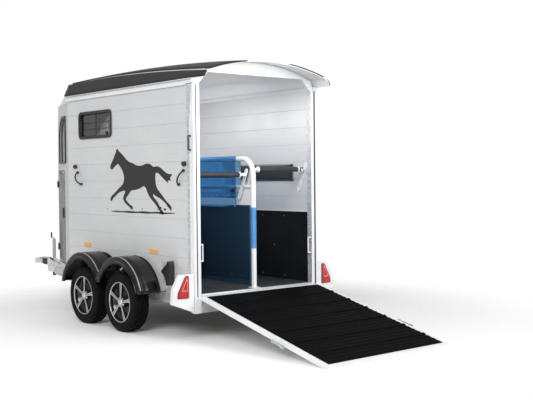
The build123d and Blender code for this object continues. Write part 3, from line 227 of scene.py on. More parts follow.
def material(name, colour, shade, smooth, rough, drift=3.0, grain=300.0, bump=0.0004, dust=0.1, **shader):
    """A finish of its own colours and gloss. shader holds constants of the Principled shader."""
    made = bpy.data.materials.new(name)
    made.use_nodes = True
    tree = made.node_tree
    skin = tree.nodes["Principled BSDF"]
    for key, value in shader.items():
        skin.inputs[key.replace("_", " ")].default_value = value
    finish = add_node(tree, "Group", {"Colour": (*colour, 1.0), "Shade": (*shade, 1.0), "Drift Scale": drift,
                                      "Grain Scale": grain, "Smooth": smooth, "Rough": rough, "Dust": dust},
                      node_tree=surface_finish)
    tree.links.new(finish.outputs["Colour"], skin.inputs["Base Color"])
    tree.links.new(finish.outputs["Roughness"], skin.inputs["Roughness"])
    add_relief(made, finish.outputs["Height"], 0.5, bump)
    return made


def build_spangle():
    """Zinc crystals: flat cells that each reflect a little differently."""
    tree, place, given, out = new_group("zinc_spangle", {"Scale": 120.0}, ("Cells",))
    cells = add_node(tree, "TexVoronoi", {"Vector": place, "Scale": given["Scale"], "Randomness": 1.0})
    return give_out(tree, out, Cells=add_node(tree, "SeparateColor", {0: cells.outputs["Color"]}).outputs[0])


zinc_spangle = build_spangle()


def spangled(made, amount, scale):
    """Mixes zinc crystals into a finish's colour."""
    cells = add_node(made.node_tree, "Group", {"Scale": scale}, node_tree=zinc_spangle).outputs[0]
    tone = add_node(made.node_tree, "MapRange", {"Value": cells, "To Min": 1.0 - amount, "To Max": 1.0 + amount})
    tint(made, 1.0, tone.outputs[0], "MULTIPLY")
    return made


galvanised = spangled(material("galvanised", (0.66, 0.67, 0.68), (0.54, 0.55, 0.57), 0.32, 0.5, drift=6.0, dust=0.25,
                               Metallic=0.45), 0.24, 85.0)
MERGE = 0.00001


def finish_piece(name, bm, skin, body, sharp=35.0, widths=()):
    """Turns a bmesh into a piece that rides on a body. widths are (bevel width, segments) of a soft edge."""
    piece = place_mesh(name, bm)
    mesh = piece.data
    if "custom_normal" in mesh.attributes:
        mesh.attributes.remove(mesh.attributes["custom_normal"])
    for paint in skin if isinstance(skin, list) else [skin]:
        mesh.materials.append(paint)
    mesh.shade_smooth()
    mesh.set_sharp_from_angle(angle=radians(sharp))
    if widths:
        edge = piece.modifiers.new("soft_edges", "BEVEL")
        edge.width, edge.segments = widths
        edge.limit_method = "ANGLE"
        edge.angle_limit = radians(sharp)
        edge.harden_normals = True
    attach(piece, body)
    return piece


def body_of_node(node):
    for body, members in frame["record"]["behaviour"]["bodies"].items():
        if node in members:
            return body


def soften(node, skin, width=0.0015, segments=2, sharp=35.0, pick=lambda x, y, z: 0):
    """Copies a machined or folded CAD part, joins its triangles, and rounds its edges a little.
    pick gives the index of a face's material from the face's centre, in millimetres."""
    bm = bmesh.new()
    bm.from_mesh(frame["nodes"][node].data)
    bmesh.ops.remove_doubles(bm, verts=bm.verts, dist=MERGE)
    bmesh.ops.dissolve_limit(bm, angle_limit=radians(0.6), verts=bm.verts, edges=bm.edges)
    for face in bm.faces:
        c = face.calc_center_median()
        face.material_index = pick((c.x - X0) * 1000, c.y * 1000, c.z * 1000)
    piece = finish_piece(node + "_finished", bm, skin, body_of_node(node), sharp,
                         (width, segments) if width else ())
    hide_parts(node)


soften("chassis_frame", galvanised, 0.003)
soften("axles", galvanised, 0.003)


# ---------------------------------------------------------------- floor and bulkhead
# Sealed plywood deck with a black ribbed rubber mat glued on it, and a white lining board between the horse
# stalls and the tack room.
deck_board = material("deck_board", (0.16, 0.11, 0.07), (0.10, 0.07, 0.05), 0.45, 0.7, drift=5.0, grain=180.0)
soften("floor_deck", deck_board, 0.001)
bulkhead_white = material("bulkhead_white", (0.74, 0.75, 0.76), (0.68, 0.69, 0.71), 0.35, 0.5, drift=2.0, grain=260.0)
soften("bulkhead", bulkhead_white, 0.002)


def ridges(tree, distance, pitch):
    """Even ridges and valleys along a distance."""
    return maths(tree, "PINGPONG", maths(tree, "DIVIDE", distance, pitch), 0.5)


def build_tread_ribs():
    """Fine parallel ribs, as rubber matting is rolled with."""
    tree, place, given, out = new_group("rolled_ribs", {"Across": 0.0, "Pitch": 0.01}, ("Height",))
    axes = add_node(tree, "SeparateXYZ", {0: place}).outputs
    pick = add_node(tree, "Mix", {"Factor": given["Across"], 2: axes["X"], 3: axes["Y"]}, data_type="FLOAT").outputs[0]
    return give_out(tree, out, Height=ridges(tree, pick, given["Pitch"]))


rubber_black = material("rubber_black", (0.016, 0.017, 0.018), (0.030, 0.030, 0.030), 0.45, 0.7, drift=5.0,
                        grain=500.0, dust=0.05, Specular_IOR_Level=0.3)
rolled_ribs = add_node(rubber_black.node_tree, "Group", {"Across": 1.0, "Pitch": 0.012}, node_tree=build_tread_ribs())
add_relief(rubber_black, rolled_ribs.outputs[0], 0.8, 0.0015)
soften("floor_mat", rubber_black, 0.001)


# ---------------------------------------------------------------- side walls
# Hollow aluminium planks with tongue and groove edges, stacked between the sill and the wall-top rail. The metal
# is anodised and left bare, drawn along its length.
def build_drawn():
    """Fine lines along the length of drawn or rolled metal."""
    tree, place, given, out = new_group("drawn_metal", {"Along": 2.0, "Across": 160.0}, ("Tone", "Height"))
    scales = add_node(tree, "CombineXYZ", {"X": given["Along"], "Y": given["Across"], "Z": given["Across"]}).outputs[0]
    stretch = add_node(tree, "VectorMath", {0: place, 1: scales}, operation="MULTIPLY").outputs[0]
    lines = add_node(tree, "TexNoise", {"Vector": stretch, "Scale": 1.0, "Detail": 3.0}).outputs["Fac"]
    return give_out(tree, out, Tone=lines, Height=lines)


drawn_metal = build_drawn()


def drawn(made, amount, along=2.0, across=160.0, height=0.0003):
    """Adds drawing lines to a finish's colour and relief."""
    tree = made.node_tree
    lines = add_node(tree, "Group", {"Along": along, "Across": across}, node_tree=drawn_metal)
    tone = add_node(tree, "MapRange", {"Value": lines.outputs["Tone"], "From Min": 0.3, "From Max": 0.7,
                                       "To Min": 1.0 - amount, "To Max": 1.0 + amount})
    tint(made, 1.0, tone.outputs[0], "MULTIPLY")
    add_relief(made, lines.outputs["Height"], 0.4, height)
    return made


def build_seams():
    """Dark joint lines between stacked planks."""
    tree, place, given, out = new_group("plank_seams", {"Start": 0.43, "Pitch": 0.2, "Width": 0.004}, ("Line",))
    height = add_node(tree, "SeparateXYZ", {0: place}).outputs["Z"]
    fold = maths(tree, "PINGPONG", maths(tree, "SUBTRACT", height, given["Start"]),
                 maths(tree, "MULTIPLY", given["Pitch"], 0.5))
    line = add_node(tree, "MapRange", {"Value": fold, "From Max": given["Width"], "To Min": 1.0, "To Max": 0.0})
    return give_out(tree, out, Line=line.outputs[0])


PLANK_PITCH = 2.150 / 11
wall_plank = drawn(material("wall_plank", (0.70, 0.705, 0.71), (0.655, 0.66, 0.67), 0.34, 0.46, drift=1.3,
                            grain=400.0, dust=0.12, Metallic=0.25), 0.035)
seam = add_node(wall_plank.node_tree, "Group", {"Pitch": PLANK_PITCH, "Width": 0.0035}, node_tree=build_seams())
tint(wall_plank, seam.outputs[0], (0.74, 0.75, 0.76, 1), "MULTIPLY")
for node in ("side_wall_left", "side_wall_right"):
    soften(node, wall_plank, 0)


# ---------------------------------------------------------------- nose, tack-room door and nose window
# Two slanted panels joined by a round front, rolled from one sheet. The tack-room door hangs on two lift-off
# hinges at its front edge, and a T handle turns its latch.
# The nose sheet is a darker grey than the wall planks as painted shade, for the nose standing in shade.
nose_silver_shaded = drawn(material("nose_shell", (0.60, 0.605, 0.61), (0.55, 0.555, 0.565), 0.28, 0.40, drift=1.2,
                             grain=400.0, dust=0.12, Metallic=0.3), 0.03)
soften("nose_shell", nose_silver_shaded, 0, sharp=30.0)
black_plastic = material("black_plastic", (0.014, 0.014, 0.015), (0.020, 0.020, 0.021), 0.22, 0.42, drift=9.0,
                         grain=700.0, dust=0.05)
zinc_steel = spangled(material("zinc_steel", (0.62, 0.62, 0.61), (0.52, 0.52, 0.52), 0.22, 0.42, drift=20.0,
                               dust=0.1, Metallic=0.9), 0.06, 300.0)
lean = radians(20.0)
along_nose, out_of_nose = Vector((cos(lean), -sin(lean), 0)), Vector((sin(lean), cos(lean), 0))


def on_nose(s, z, depth):
    """Point on the left nose panel: s along it from the side wall, z up, depth outwards, in millimetres."""
    return at(2636, 830, z) + (along_nose * s + out_of_nose * depth) / 1000


def add_ring(bm, points):
    """Closed loop of edges through some points."""
    verts = [bm.verts.new(p) for p in points]
    return [bm.edges.new((verts[i - 1], verts[i])) for i in range(len(verts))]


def bridged(rings, cap_first=False, cap_last=False):
    """Skin through a row of closed loops."""
    bm = bmesh.new()
    loops = [add_ring(bm, ring) for ring in rings]
    for first, second in zip(loops, loops[1:]):
        bmesh.ops.bridge_loops(bm, edges=first + second)
    for wanted, loop in ((cap_first, loops[0]), (cap_last, loops[-1])):
        if wanted:
            bmesh.ops.contextual_create(bm, geom=loop)
    bmesh.ops.recalc_face_normals(bm, faces=bm.faces)
    return bm


def rounded_outline(w0, w1, z0, z1, r, grow=0, steps=6):
    """Rectangle with round corners, as (across, up) pairs, with its sides moved outwards by grow."""
    points = []
    w0, w1, z0, z1 = w0 - grow, w1 + grow, z0 - grow, z1 + grow
    for cx, cz, start in ((w1 - r, z1 - r, 0), (w0 + r, z1 - r, 90), (w0 + r, z0 + r, 180), (w1 - r, z0 + r, 270)):
        for i in range(steps + 1):
            turn = radians(start + 90 * i / steps)
            points.append((cx + r * cos(turn), cz + r * sin(turn)))
    return points


door_rings = []
for grow, depth in ((-3.0, -7.5), (0.0, -6.0), (0.0, 0.0), (-2.0, 2.0), (-26.0, 2.0), (-30.0, 0.6), (-36.0, 0.6),
                    (-40.0, 2.0)):
    door_rings.append([on_nose(s, z, depth) for s, z in rounded_outline(356, 921, 564, 1726, 41 + grow, grow)])
door = finish_piece("tack_door_panel", bridged(door_rings, True, True), nose_silver_shaded, "tack_door")
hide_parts("tack_door")


def soft_edges(bm, edges, width, segments=2):
    bmesh.ops.bevel(bm, geom=edges, offset=width / 1000, offset_type="OFFSET", segments=segments, profile=0.5,
                    affect="EDGES", material=-1, clamp_overlap=True)


def add_block(bm, corner, other, bevel=0.0, segments=2, place=at):
    """Box between two corners in millimetres, with soft edges. place turns (x, y, z) into a place."""
    made = bmesh.ops.create_cube(bm, size=1.0)["verts"]
    for v in made:
        v.co = place(*[corner[i] if v.co[i] < 0 else other[i] for i in range(3)])
    if bevel:
        soft_edges(bm, list({e for v in made for e in v.link_edges}), bevel, segments)


def add_rod(bm, start, end, radius, end_radius=None, segments=24, bevel=0.0):
    """Round bar between two places, in metres, with its radius in millimetres and softened rims."""
    run = end - start
    place = Matrix.Translation((start + end) / 2) @ run.to_track_quat("Z", "Y").to_matrix().to_4x4()
    made = bmesh.ops.create_cone(bm, cap_ends=True, segments=segments, radius1=radius / 1000,
                                 radius2=(end_radius or radius) / 1000, depth=run.length, matrix=place)["verts"]
    if bevel:
        soft_edges(bm, [e for e in {e for v in made for e in v.link_edges} if len(e.link_faces) == 2
                        and max(len(f.verts) for f in e.link_faces) > 4], bevel)


pivot = on_nose(939, 0, 14)
bm = bmesh.new()
for z in (745, 1560):
    add_rod(bm, Vector((pivot.x, pivot.y, (z - 40) / 1000)), Vector((pivot.x, pivot.y, (z + 40) / 1000)), 9, bevel=1)
    add_block(bm, (866, z - 30, 1.5), (936, z + 30, 8.0), 2.0, 2, on_nose)
    for s in (880, 905):
        for dz in (-16, 16):
            add_rod(bm, on_nose(s, z + dz, 7.5), on_nose(s, z + dz, 11.0), 5.5, 4.0, 16, 0.8)
finish_piece("tack_door_hinges", bm, black_plastic, "tack_door")
soften("hinge_pins", zinc_steel, 0.001)

bm = bmesh.new()
add_rod(bm, on_nose(414, 1150, 2.5), on_nose(414, 1150, 22), 15, 13, 28, 1.5)
add_block(bm, (402, 1161, 9), (426, 1262, 18), 4.0, 3, on_nose)
add_block(bm, (404, 1140, 9), (424, 1166, 18), 3.0, 2, on_nose)
latch = finish_piece("tack_door_handle", bm, black_plastic, "tack_door_latch")
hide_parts("tack_door_latch")

gasket = []
for grow, depth in ((8, 0.4), (8, 3.5), (2, 3.8), (0, 0.4)):
    gasket.append([on_nose(s, z, depth) for s, z in rounded_outline(352, 925, 560, 1730, 45 + grow, grow)])
finish_piece("tack_door_gasket", bridged(gasket + gasket[:1]), black_plastic, "trailer_body")


# ---------------------------------------------------------------- windows
# Black moulded frames clamp through the wall, with smoked panes. The side window has guard bars inside and a
# rear pane that slides forward by its round knob.
glass = material("glass_dark", (0.15, 0.15, 0.155), (0.12, 0.12, 0.125), 0.01, 0.04, drift=4.0, grain=60.0,
                 bump=0.0001, dust=0.0, Transmission_Weight=0.92, IOR=1.4)
soften("window_frames", black_plastic, 0.003, 3)
soften("fixed_panes", glass, 0.0008)
soften("sliding_pane", [glass, black_plastic], 0.0008, pick=lambda x, y, z: int(y > 822.5))


# ---------------------------------------------------------------- door posts and rear header
# Folded steel posts, powder-coated white, each with a galvanised strip that laps over the side wall. An arched
# header with corner gussets joins them, and rubber seals lie beside the doorway for the ramp.
white_paint = material("white_paint", (0.80, 0.81, 0.82), (0.74, 0.75, 0.77), 0.22, 0.36, drift=3.0, grain=500.0,
                       bump=0.0001, dust=0.12)
soften("rear_portal", [white_paint, galvanised], 0.0015,
       pick=lambda x, y, z: int(z < 2574 and (abs(y) > 831 and x > 61 or abs(y) < 756 and x > 3)))
alloy_strip = drawn(material("threshold", (0.72, 0.73, 0.74), (0.64, 0.65, 0.66), 0.3, 0.42, drift=8.0, grain=500.0,
                             Metallic=0.5), 0.05, 160.0, 3.0)
bm = bmesh.new()
for side, _ in SIDES:
    add_block(bm, (-17, side * 797, 436), (-10.2, side * 805, 2566), 2.5, 3)
finish_piece("doorway_seals", bm, black_plastic, "trailer_body")


def push_out(bm, faces, run):
    """Gives flat faces a thickness."""
    grown = bmesh.ops.extrude_face_region(bm, geom=faces)["geom"]
    bmesh.ops.translate(bm, verts=[g for g in grown if isinstance(g, bmesh.types.BMVert)], vec=run)
    bmesh.ops.recalc_face_normals(bm, faces=bm.faces)


def add_plate(bm, outline, run):
    push_out(bm, [bm.faces.new([bm.verts.new(p) for p in outline])], run)


bm = bmesh.new()
for side, _ in SIDES:
    add_plate(bm, [at(x, side * 834.1, z) for x, z in
                   ((58, 432), (101, 432), (101, 2574), (22, 2574), (22, 2500), (58, 2200))], (0, side * 0.0016, 0))
finish_piece("wall_lap_strips", bm, galvanised, "trailer_body")
bm = bmesh.new()
add_block(bm, (-12, -753, 446), (8, 753, 461), 2.0)
add_block(bm, (-13.5, -753, 432), (-10.2, 753, 460), 1.0)
finish_piece("threshold_strip", bm, alloy_strip, "trailer_body")
soften("eaves_rails", white_paint, 0.003, 3)


# ---------------------------------------------------------------- roof
# White glass-fibre shell: a shallow arch with a rounded shoulder over each side, a hood over the doorway at the
# rear and a cap that falls to the nose. Dark cover panels are bonded along its sides and on its two slopes.
HOOD_X, NOSE_X, CAP_X = -220, 2636, 3655
EAVE_Z, SIDE_Y = 2622, 800


def crown_z(x):
    return 2905.0 - 2.55e-5 * (x - 1560) ** 2


def shoulder_z(x):
    return 2783.0 - 1.9e-5 * (x - 1980) ** 2


def eave_y(x):
    """The eave draws in a little under the hood."""
    t = min(max((140 - x) / 385, 0.0), 1.0)
    return 872 - 26 * t * t * (3 - 2 * t)


def spaced(x0, x1, count):
    return [x0 + (x1 - x0) * i / count for i in range(count + 1)]


def bend(a, corner, b, steps):
    """Curve from a to b, pulled to a corner."""
    return [a * (1 - t) ** 2 + corner * 2 * t * (1 - t) + b * t ** 2 for t in spaced(0, 1, steps)]


def roof_section(eave, corner, top_z, shoulder=30.0, arch=14):
    """The roof's outline from eave to eave: a slanted side, a round shoulder at the corner, and the arch."""
    eave, corner = Vector(eave), Vector(corner)
    rise = max(top_z - corner.y, 4.0)
    radius = (corner.x ** 2 + rise ** 2) / (2 * rise)
    centre = top_z - radius
    start = corner + (eave - corner).normalized() * shoulder
    arc_turn = atan2(corner.x, corner.y - centre) - shoulder / radius
    arc = [Vector((radius * sin(a), centre + radius * cos(a))) for a in spaced(arc_turn, 0, arch)]
    half = [eave, eave.lerp(start, 0.5)] + bend(start, corner, arc[0], 5) + arc[1:]
    return [(p.x, p.y) for p in half] + [(-p.x, p.y) for p in reversed(half[:-1])]


def sheet(rows):
    """Skin through rows of points: a chain of edges, extruded from row to row."""
    bm = bmesh.new()
    chain = [bm.verts.new(p) for p in rows[0]]
    edges = [bm.edges.new(pair) for pair in zip(chain, chain[1:])]
    for row in rows[1:]:
        grown = bmesh.ops.extrude_edge_only(bm, edges=edges)["geom"]
        places = {v.co.copy().freeze(): i for i, v in enumerate(chain)}
        chain = sorted([g for g in grown if isinstance(g, bmesh.types.BMVert)],
                       key=lambda v: places[v.co.copy().freeze()])
        for v, p in zip(chain, row):
            v.co = p
        edges = [g for g in grown if isinstance(g, bmesh.types.BMEdge)]
    bmesh.ops.recalc_face_normals(bm, faces=bm.faces)
    return bm


def upright(x, z):
    return 0.0


def rear_slope(x, z):
    """The hood's lower corners are round, and its sides lean out to the rear."""
    height = min(max((z - EAVE_Z) / (shoulder_z(HOOD_X) - EAVE_Z), 0.0), 1.0)
    return (26.0 * (1 - height) ** 5 - 22.0 * (1 - height)) * max(1 - (x - HOOD_X) / 200, 0.0)


def swept_skin(stations, section, skew=upright):
    """Sheet drawn along the trailer through the sections at some stations."""
    return sheet([[at(x + skew(x, z), y, z) for y, z in section(x)] for x in stations])


def thicken(piece, thickness, offset=-1.0, bevel=0.0):
    wall = piece.modifiers.new("thickness", "SOLIDIFY")
    wall.thickness, wall.offset = thickness / 1000, offset
    if bevel:
        edge = piece.modifiers.new("soft_edges", "BEVEL")
        edge.width, edge.segments, edge.limit_method = bevel / 1000, 2, "ANGLE"
        edge.angle_limit, edge.harden_normals = radians(40), True


roof_white = material("roof_white", (0.84, 0.85, 0.86), (0.80, 0.81, 0.83), 0.12, 0.22, drift=1.5, grain=300.0,
                      bump=0.0001, dust=0.0, Coat_Weight=0.4)
roof = finish_piece(
    "roof_arch",
    swept_skin(spaced(HOOD_X, NOSE_X, 36),
               lambda x: roof_section((eave_y(x), EAVE_Z), (SIDE_Y, shoulder_z(x)), crown_z(x)), rear_slope),
    roof_white, "trailer_body", 60)
thicken(roof, 8, -1.0, 2.0)
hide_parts("roof_shell")

# Station: half width at the eave and at the shoulder, and the shoulder's and the crown's height.
CAP_EAVE_Z = 2555
cap_stations = {NOSE_X: (838, 793, shoulder_z(NOSE_X), crown_z(NOSE_X)), 2790: (782, 736, 2772, 2880),
                2950: (724, 667, 2748, 2862), 3100: (669, 606, 2728, 2832), 3250: (615, 545, 2700, 2792),
                3350: (578, 505, 2678, 2756), 3450: (542, 464, 2650, 2712), 3550: (440, 356, 2622, 2662),
                3620: (368, 282, 2602, 2624), CAP_X: (330, 240, 2590, 2604)}


def cap_section(x):
    eave, side_y, side_z, top_z = cap_stations[x]
    return roof_section((eave, CAP_EAVE_Z), (side_y, side_z), top_z, min(30.0, (side_z - CAP_EAVE_Z) / 2))


bm = swept_skin(list(cap_stations), cap_section)
front = at(CAP_X, 0, 0).x
bmesh.ops.contextual_create(bm, geom=[e for e in bm.edges if e.is_boundary
                                      and all(abs(v.co.x - front) < 1e-6 for v in e.verts)])
thicken(finish_piece("roof_nose_cap", bm, roof_white, "trailer_body", 60), 8)

cover_black = material("cover_black", (0.022, 0.022, 0.023), (0.030, 0.030, 0.031), 0.42, 0.55, drift=3.0,
                       grain=600.0, bump=0.0002, dust=0.0, Specular_IOR_Level=0.25)


def band_section(x):
    """The cover on the roof's side, 5 mm proud of it."""
    top = shoulder_z(x)
    slope = (eave_y(x) - SIDE_Y) / (top - EAVE_Z)
    return [(eave_y(x) - (z - EAVE_Z) * slope + 5.0, z) for z in spaced(2629, top - 6, 4)]


def strip_section(x):
    """The cover on the roof's slope, a little proud of the arch."""
    rise = crown_z(x) - shoulder_z(x)
    radius = (SIDE_Y ** 2 + rise ** 2) / (2 * rise)
    return [(y, crown_z(x) - radius + sqrt((radius + lift) ** 2 - y * y))
            for y, lift in ((300, 5), (400, 6), (500, 6), (600, 6), (700, 6), (760, 5))]


covers = []
for side, hand in SIDES:
    for name, section, rear, skew in (("side_band", band_section, -218, rear_slope),
                                      ("slope_strip", strip_section, -219, upright)):
        bm = swept_skin(spaced(rear, 2624, 30), lambda x: [(side * y, z) for y, z in section(x)], skew)
        covers.append(finish_piece(f"roof_{name}_{hand}", bm, cover_black, "trailer_body"))
        thicken(covers[-1], 14, 0.0)
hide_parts("roof_side_covers")


# ---------------------------------------------------------------- wheels
# Road tyres on 15-inch alloy rims: five twin spokes with machined faces on a black wheel, a machined lip and a
# plain centre cap, with the brake drum behind.
tyre_rubber = material("tyre", (0.005, 0.005, 0.0054), (0.009, 0.009, 0.009), 0.5, 0.75, drift=9.0, grain=900.0,
                       dust=0.0, Specular_IOR_Level=0.07)
wheel_black = material("wheel_black", (0.010, 0.010, 0.011), (0.016, 0.016, 0.017), 0.18, 0.30, drift=12.0,
                       grain=600.0, dust=0.05, Coat_Weight=0.5)
alloy = drawn(material("alloy", (0.78, 0.79, 0.80), (0.70, 0.71, 0.72), 0.18, 0.30, drift=14.0, grain=700.0,
                       dust=0.1, Metallic=0.92), 0.04, 60.0, 60.0)
WHEEL_R, WHEEL_Y, TYRE_STEPS = 317.0, 1030.5, 144


def clean_up(bm):
    bmesh.ops.remove_doubles(bm, verts=bm.verts, dist=MERGE)
    bmesh.ops.recalc_face_normals(bm, faces=bm.faces)


def turned(bm, points, centre, axis, steps):
    """Ring turned about an axis from a chain of points."""
    verts = [bm.verts.new(p) for p in points]
    edges = [bm.edges.new(pair) for pair in zip(verts, verts[1:])]
    bmesh.ops.spin(bm, geom=verts + edges, cent=centre, axis=axis, dvec=(0, 0, 0), angle=2 * pi, steps=steps,
                   use_merge=True, use_duplicate=False)


def lathe(bm, profile, steps, material_index=0):
    """Closed ring turned about the Y axis from (radius, y) pairs in millimetres."""
    before = set(bm.faces)
    turned(bm, [(r / 1000, y / 1000, 0) for r, y in profile], (0, 0, 0), (0, 1, 0), steps)
    for face in bm.faces:
        if face not in before:
            face.material_index = material_index


outer_half = [(192, 74), (200, 80), (213.5, 84), (216, 90.5), (218, 93.5), (222, 93.5), (224, 92), (246, 96),
              (252, 96), (254, 97.5), (262, 97.5), (264, 96), (284, 95), (293, 93), (302, 88.5), (309, 81),
              (313.5, 72), (315.5, 62), (316, 44), (309, 43), (309, 38), (316.8, 37), (317, 13), (309.5, 12),
              (309.5, 7), (317, 6)]
tyre_shape = outer_half + [(r, -y) for r, y in reversed(outer_half)] + [(190, -60), (190, 60), (192, 74)]


def tyre_mesh():
    """Tyre with sipes cut into its tread blocks and fine ribs on its shoulders."""
    bm = bmesh.new()
    lathe(bm, tyre_shape, TYRE_STEPS)
    clean_up(bm)
    sipes, ribs = [], []
    for face in bm.faces:
        c = face.calc_center_median()
        r, y, across = hypot(c.x, c.z) * 1000, c.y * 1000, abs(c.y) * 1000
        step = int((atan2(c.z, c.x) / (2 * pi)) % 1.0 * TYRE_STEPS) % 4
        if r > 312.5 and (46 < across < 70 and step == 0 or 15 < across < 36 and step == (2 if y > 0 else 1)
                          or across < 6 and step == 3):
            sipes.append(face)
        if 300 < r < 312 and 70 < across < 85 and step in (0, 1):
            ribs.append(face)
    bmesh.ops.inset_individual(bm, faces=sipes, thickness=0.0012, depth=-0.006)
    bmesh.ops.inset_individual(bm, faces=ribs, thickness=0.0008, depth=0.0012)
    return bm


SPOKES, FIRST_SPOKE = 5, 98
MACHINED, BLACK, DRUM = 0, 1, 2
CONE = 0.045


def spoke_mesh():
    """One spoke, pointing along +X: a tapered plate with a trough down its middle and a skirt behind its edge."""
    spoke = bmesh.new()
    plan = [(24, 13), (60, 12), (110, 13), (160, 16), (206, 20)]
    rows = [[spoke.verts.new((r / 1000, (face_y + (r - 26) * CONE) / 1000, share * w / 1000)) for r, w in plan]
            for face_y, share in ((80, 1), (81, 0.30), (81, -0.30), (80, -1))]
    faces = [spoke.faces.new((near[i], near[i + 1], far[i + 1], far[i]))
             for i in range(len(plan) - 1) for near, far in zip(rows, rows[1:])]
    trough = faces[1::3]
    bmesh.ops.recalc_face_normals(spoke, faces=spoke.faces)
    if faces[0].normal.y < 0:
        bmesh.ops.reverse_faces(spoke, faces=spoke.faces)
    deep = bmesh.ops.extrude_face_region(spoke, geom=trough)["geom"]
    bmesh.ops.translate(spoke, verts=[g for g in deep if isinstance(g, bmesh.types.BMVert)], vec=(0, -0.013, 0))
    bmesh.ops.delete(spoke, geom=trough, context="FACES")
    for f in spoke.faces:
        c = f.calc_center_median()
        f.material_index = MACHINED if f.normal.y > 0.9 and c.y > 0.0765 + (c.x - 0.026) * CONE else BLACK
    skirt = bmesh.ops.extrude_edge_only(spoke, edges=[e for e in spoke.edges if e.is_boundary])["geom"]
    bmesh.ops.translate(spoke, verts=[g for g in skirt if isinstance(g, bmesh.types.BMVert)], vec=(0, -0.024, 0))
    for g in skirt:
        if isinstance(g, bmesh.types.BMFace):
            g.material_index = BLACK
    bmesh.ops.recalc_face_normals(spoke, faces=spoke.faces)
    one = bpy.data.meshes.new("spoke")
    spoke.to_mesh(one)
    spoke.free()
    return one


def rim_mesh():
    """Alloy wheel with its hub, bolts and brake drum; the one spoke is turned five times."""
    bm = bmesh.new()
    lathe(bm, [(205, 82), (207, 90), (211, 93), (215, 91), (215, 82), (196, 76), (188, 50)], 72, MACHINED)
    lathe(bm, [(205, 82), (194, 70), (184, 40), (170, 24), (160, -22), (182, -52), (190, -74), (206, -78),
               (206, -87)], 72, BLACK)
    lathe(bm, [(20, 18), (112, 18), (118, 12), (118, -40), (112, -58), (20, -58)], 48, DRUM)
    lathe(bm, [(60, 18), (60, 70), (52, 76), (18, 78)], 48, BLACK)
    lathe(bm, [(0.01, 88), (20, 88), (27, 86), (31, 81), (31, 72)], 40, MACHINED)
    for k in range(SPOKES):
        turn = radians(FIRST_SPOKE + 72 * k + 36)
        c = Vector((cos(turn) * 0.046, 0.0765, sin(turn) * 0.046))
        add_rod(bm, c - Vector((0, 0.004, 0)), c + Vector((0, 0.004, 0)), 8, 7, 6, 0.8)
        for f in bm.faces:
            if (f.calc_center_median() - c).length < 0.013:
                f.material_index = MACHINED
    one = spoke_mesh()
    for k in range(SPOKES):
        before = set(bm.verts)
        bm.from_mesh(one)
        bmesh.ops.rotate(bm, verts=[v for v in bm.verts if v not in before], cent=(0, 0, 0),
                         matrix=Matrix.Rotation(-radians(FIRST_SPOKE + 72 * k), 3, "Y"))
    bpy.data.meshes.remove(one)
    return bm


# The brake drum's zinc is given a near-black colour as painted shade inside the wheel.
drum_painted_dark = spangled(material("brake_drum", (0.05, 0.05, 0.052), (0.03, 0.03, 0.032), 0.3, 0.5, drift=12.0,
                              dust=0.2, Metallic=0.85), 0.1, 200.0)
for end, x in (("rear", 977), ("front", 1772)):
    for side, hand in SIDES:
        body = f"wheel_{end}_{hand}"
        to_hub = Matrix.Translation(at(x, side * WHEEL_Y, WHEEL_R)) @ Matrix.Rotation(pi if side < 0 else 0, 4, "Z")
        tyre_bm, rim_bm = tyre_mesh(), rim_mesh()
        for bm in (tyre_bm, rim_bm):
            bmesh.ops.transform(bm, matrix=to_hub, verts=bm.verts)
        tyre = finish_piece(f"road_tyre_{end}_{hand}", tyre_bm, tyre_rubber, body, 28)
        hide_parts(f"tyre_{end}_{hand}")
        wheel = finish_piece(f"alloy_wheel_{end}_{hand}", rim_bm, [alloy, wheel_black, drum_painted_dark], body, 30,
                             (0.0012, 2))
        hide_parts(f"rim_{end}_{hand}")


# ---------------------------------------------------------------- mudguards
# Glossy black moulded mudguards: a flat top that follows both wheels, a rounded outer ridge, a side flange with a
# rolled lower lip, and a tongue between the wheels. A thin light grey band along each ridge is a painted highlight.
# Flat stays hold them.
fender_black = material("fender_black", (0.0035, 0.0035, 0.0038), (0.006, 0.006, 0.006), 0.14, 0.26, drift=6.0,
                        grain=500.0, bump=0.0001, dust=0.0, Specular_IOR_Level=0.4)
# Light grey for the band that is a painted highlight along each mudguard's ridge.
highlight_grey = material("guard_painted_highlight", (0.36, 0.36, 0.365), (0.26, 0.26, 0.265), 0.12, 0.24, drift=5.0, grain=500.0,
                     bump=0.0001, dust=0.0)
REAR_X, FRONT_X = 977, 1772
MID_X, HALF_BASE, GUARD_R, LIP_R = 1374.5, 397.5, 487.0, 409.0
GUARD_END_Z, VALLEY_AT = 445, 0.86


def guard_paths(steps=30):
    """Pairs of (upper, lower) points of the side flange, in x and z, from the rear end to the front end."""
    drop = GUARD_END_Z - WHEEL_R
    end = atan2(drop, -sqrt(GUARD_R ** 2 - drop ** 2))
    lip_end = atan2(drop, -sqrt(LIP_R ** 2 - drop ** 2))
    valley = atan2(sqrt(GUARD_R ** 2 - HALF_BASE ** 2), HALF_BASE) + radians(3.4)
    tongue = atan2(188, sqrt(LIP_R ** 2 - 188 ** 2))
    rows = []
    for t in spaced(0, 1, steps):
        a = end + (valley - end) * t
        b = (lip_end + (valley - lip_end) * t / VALLEY_AT if t <= VALLEY_AT
             else valley + (tongue - valley) * (t - VALLEY_AT) / (1 - VALLEY_AT))
        rows.append([(-HALF_BASE + r * cos(turn), WHEEL_R + r * sin(turn)) for r, turn in ((GUARD_R, a), (LIP_R, b))])
    (last_x, last_z), (low_x, _) = rows[-1]
    middle = [[(last_x * (1 - 2 * t), last_z - 5 * sin(pi * t)), (low_x * (1 - 2 * t), 505 - 6 * sin(pi * t))]
              for t in (0.25, 0.5, 0.75)]
    back = [[(-x, z) for x, z in row] for row in reversed(rows)]
    return [[(MID_X + x, z) for x, z in row] for row in rows + middle + back]


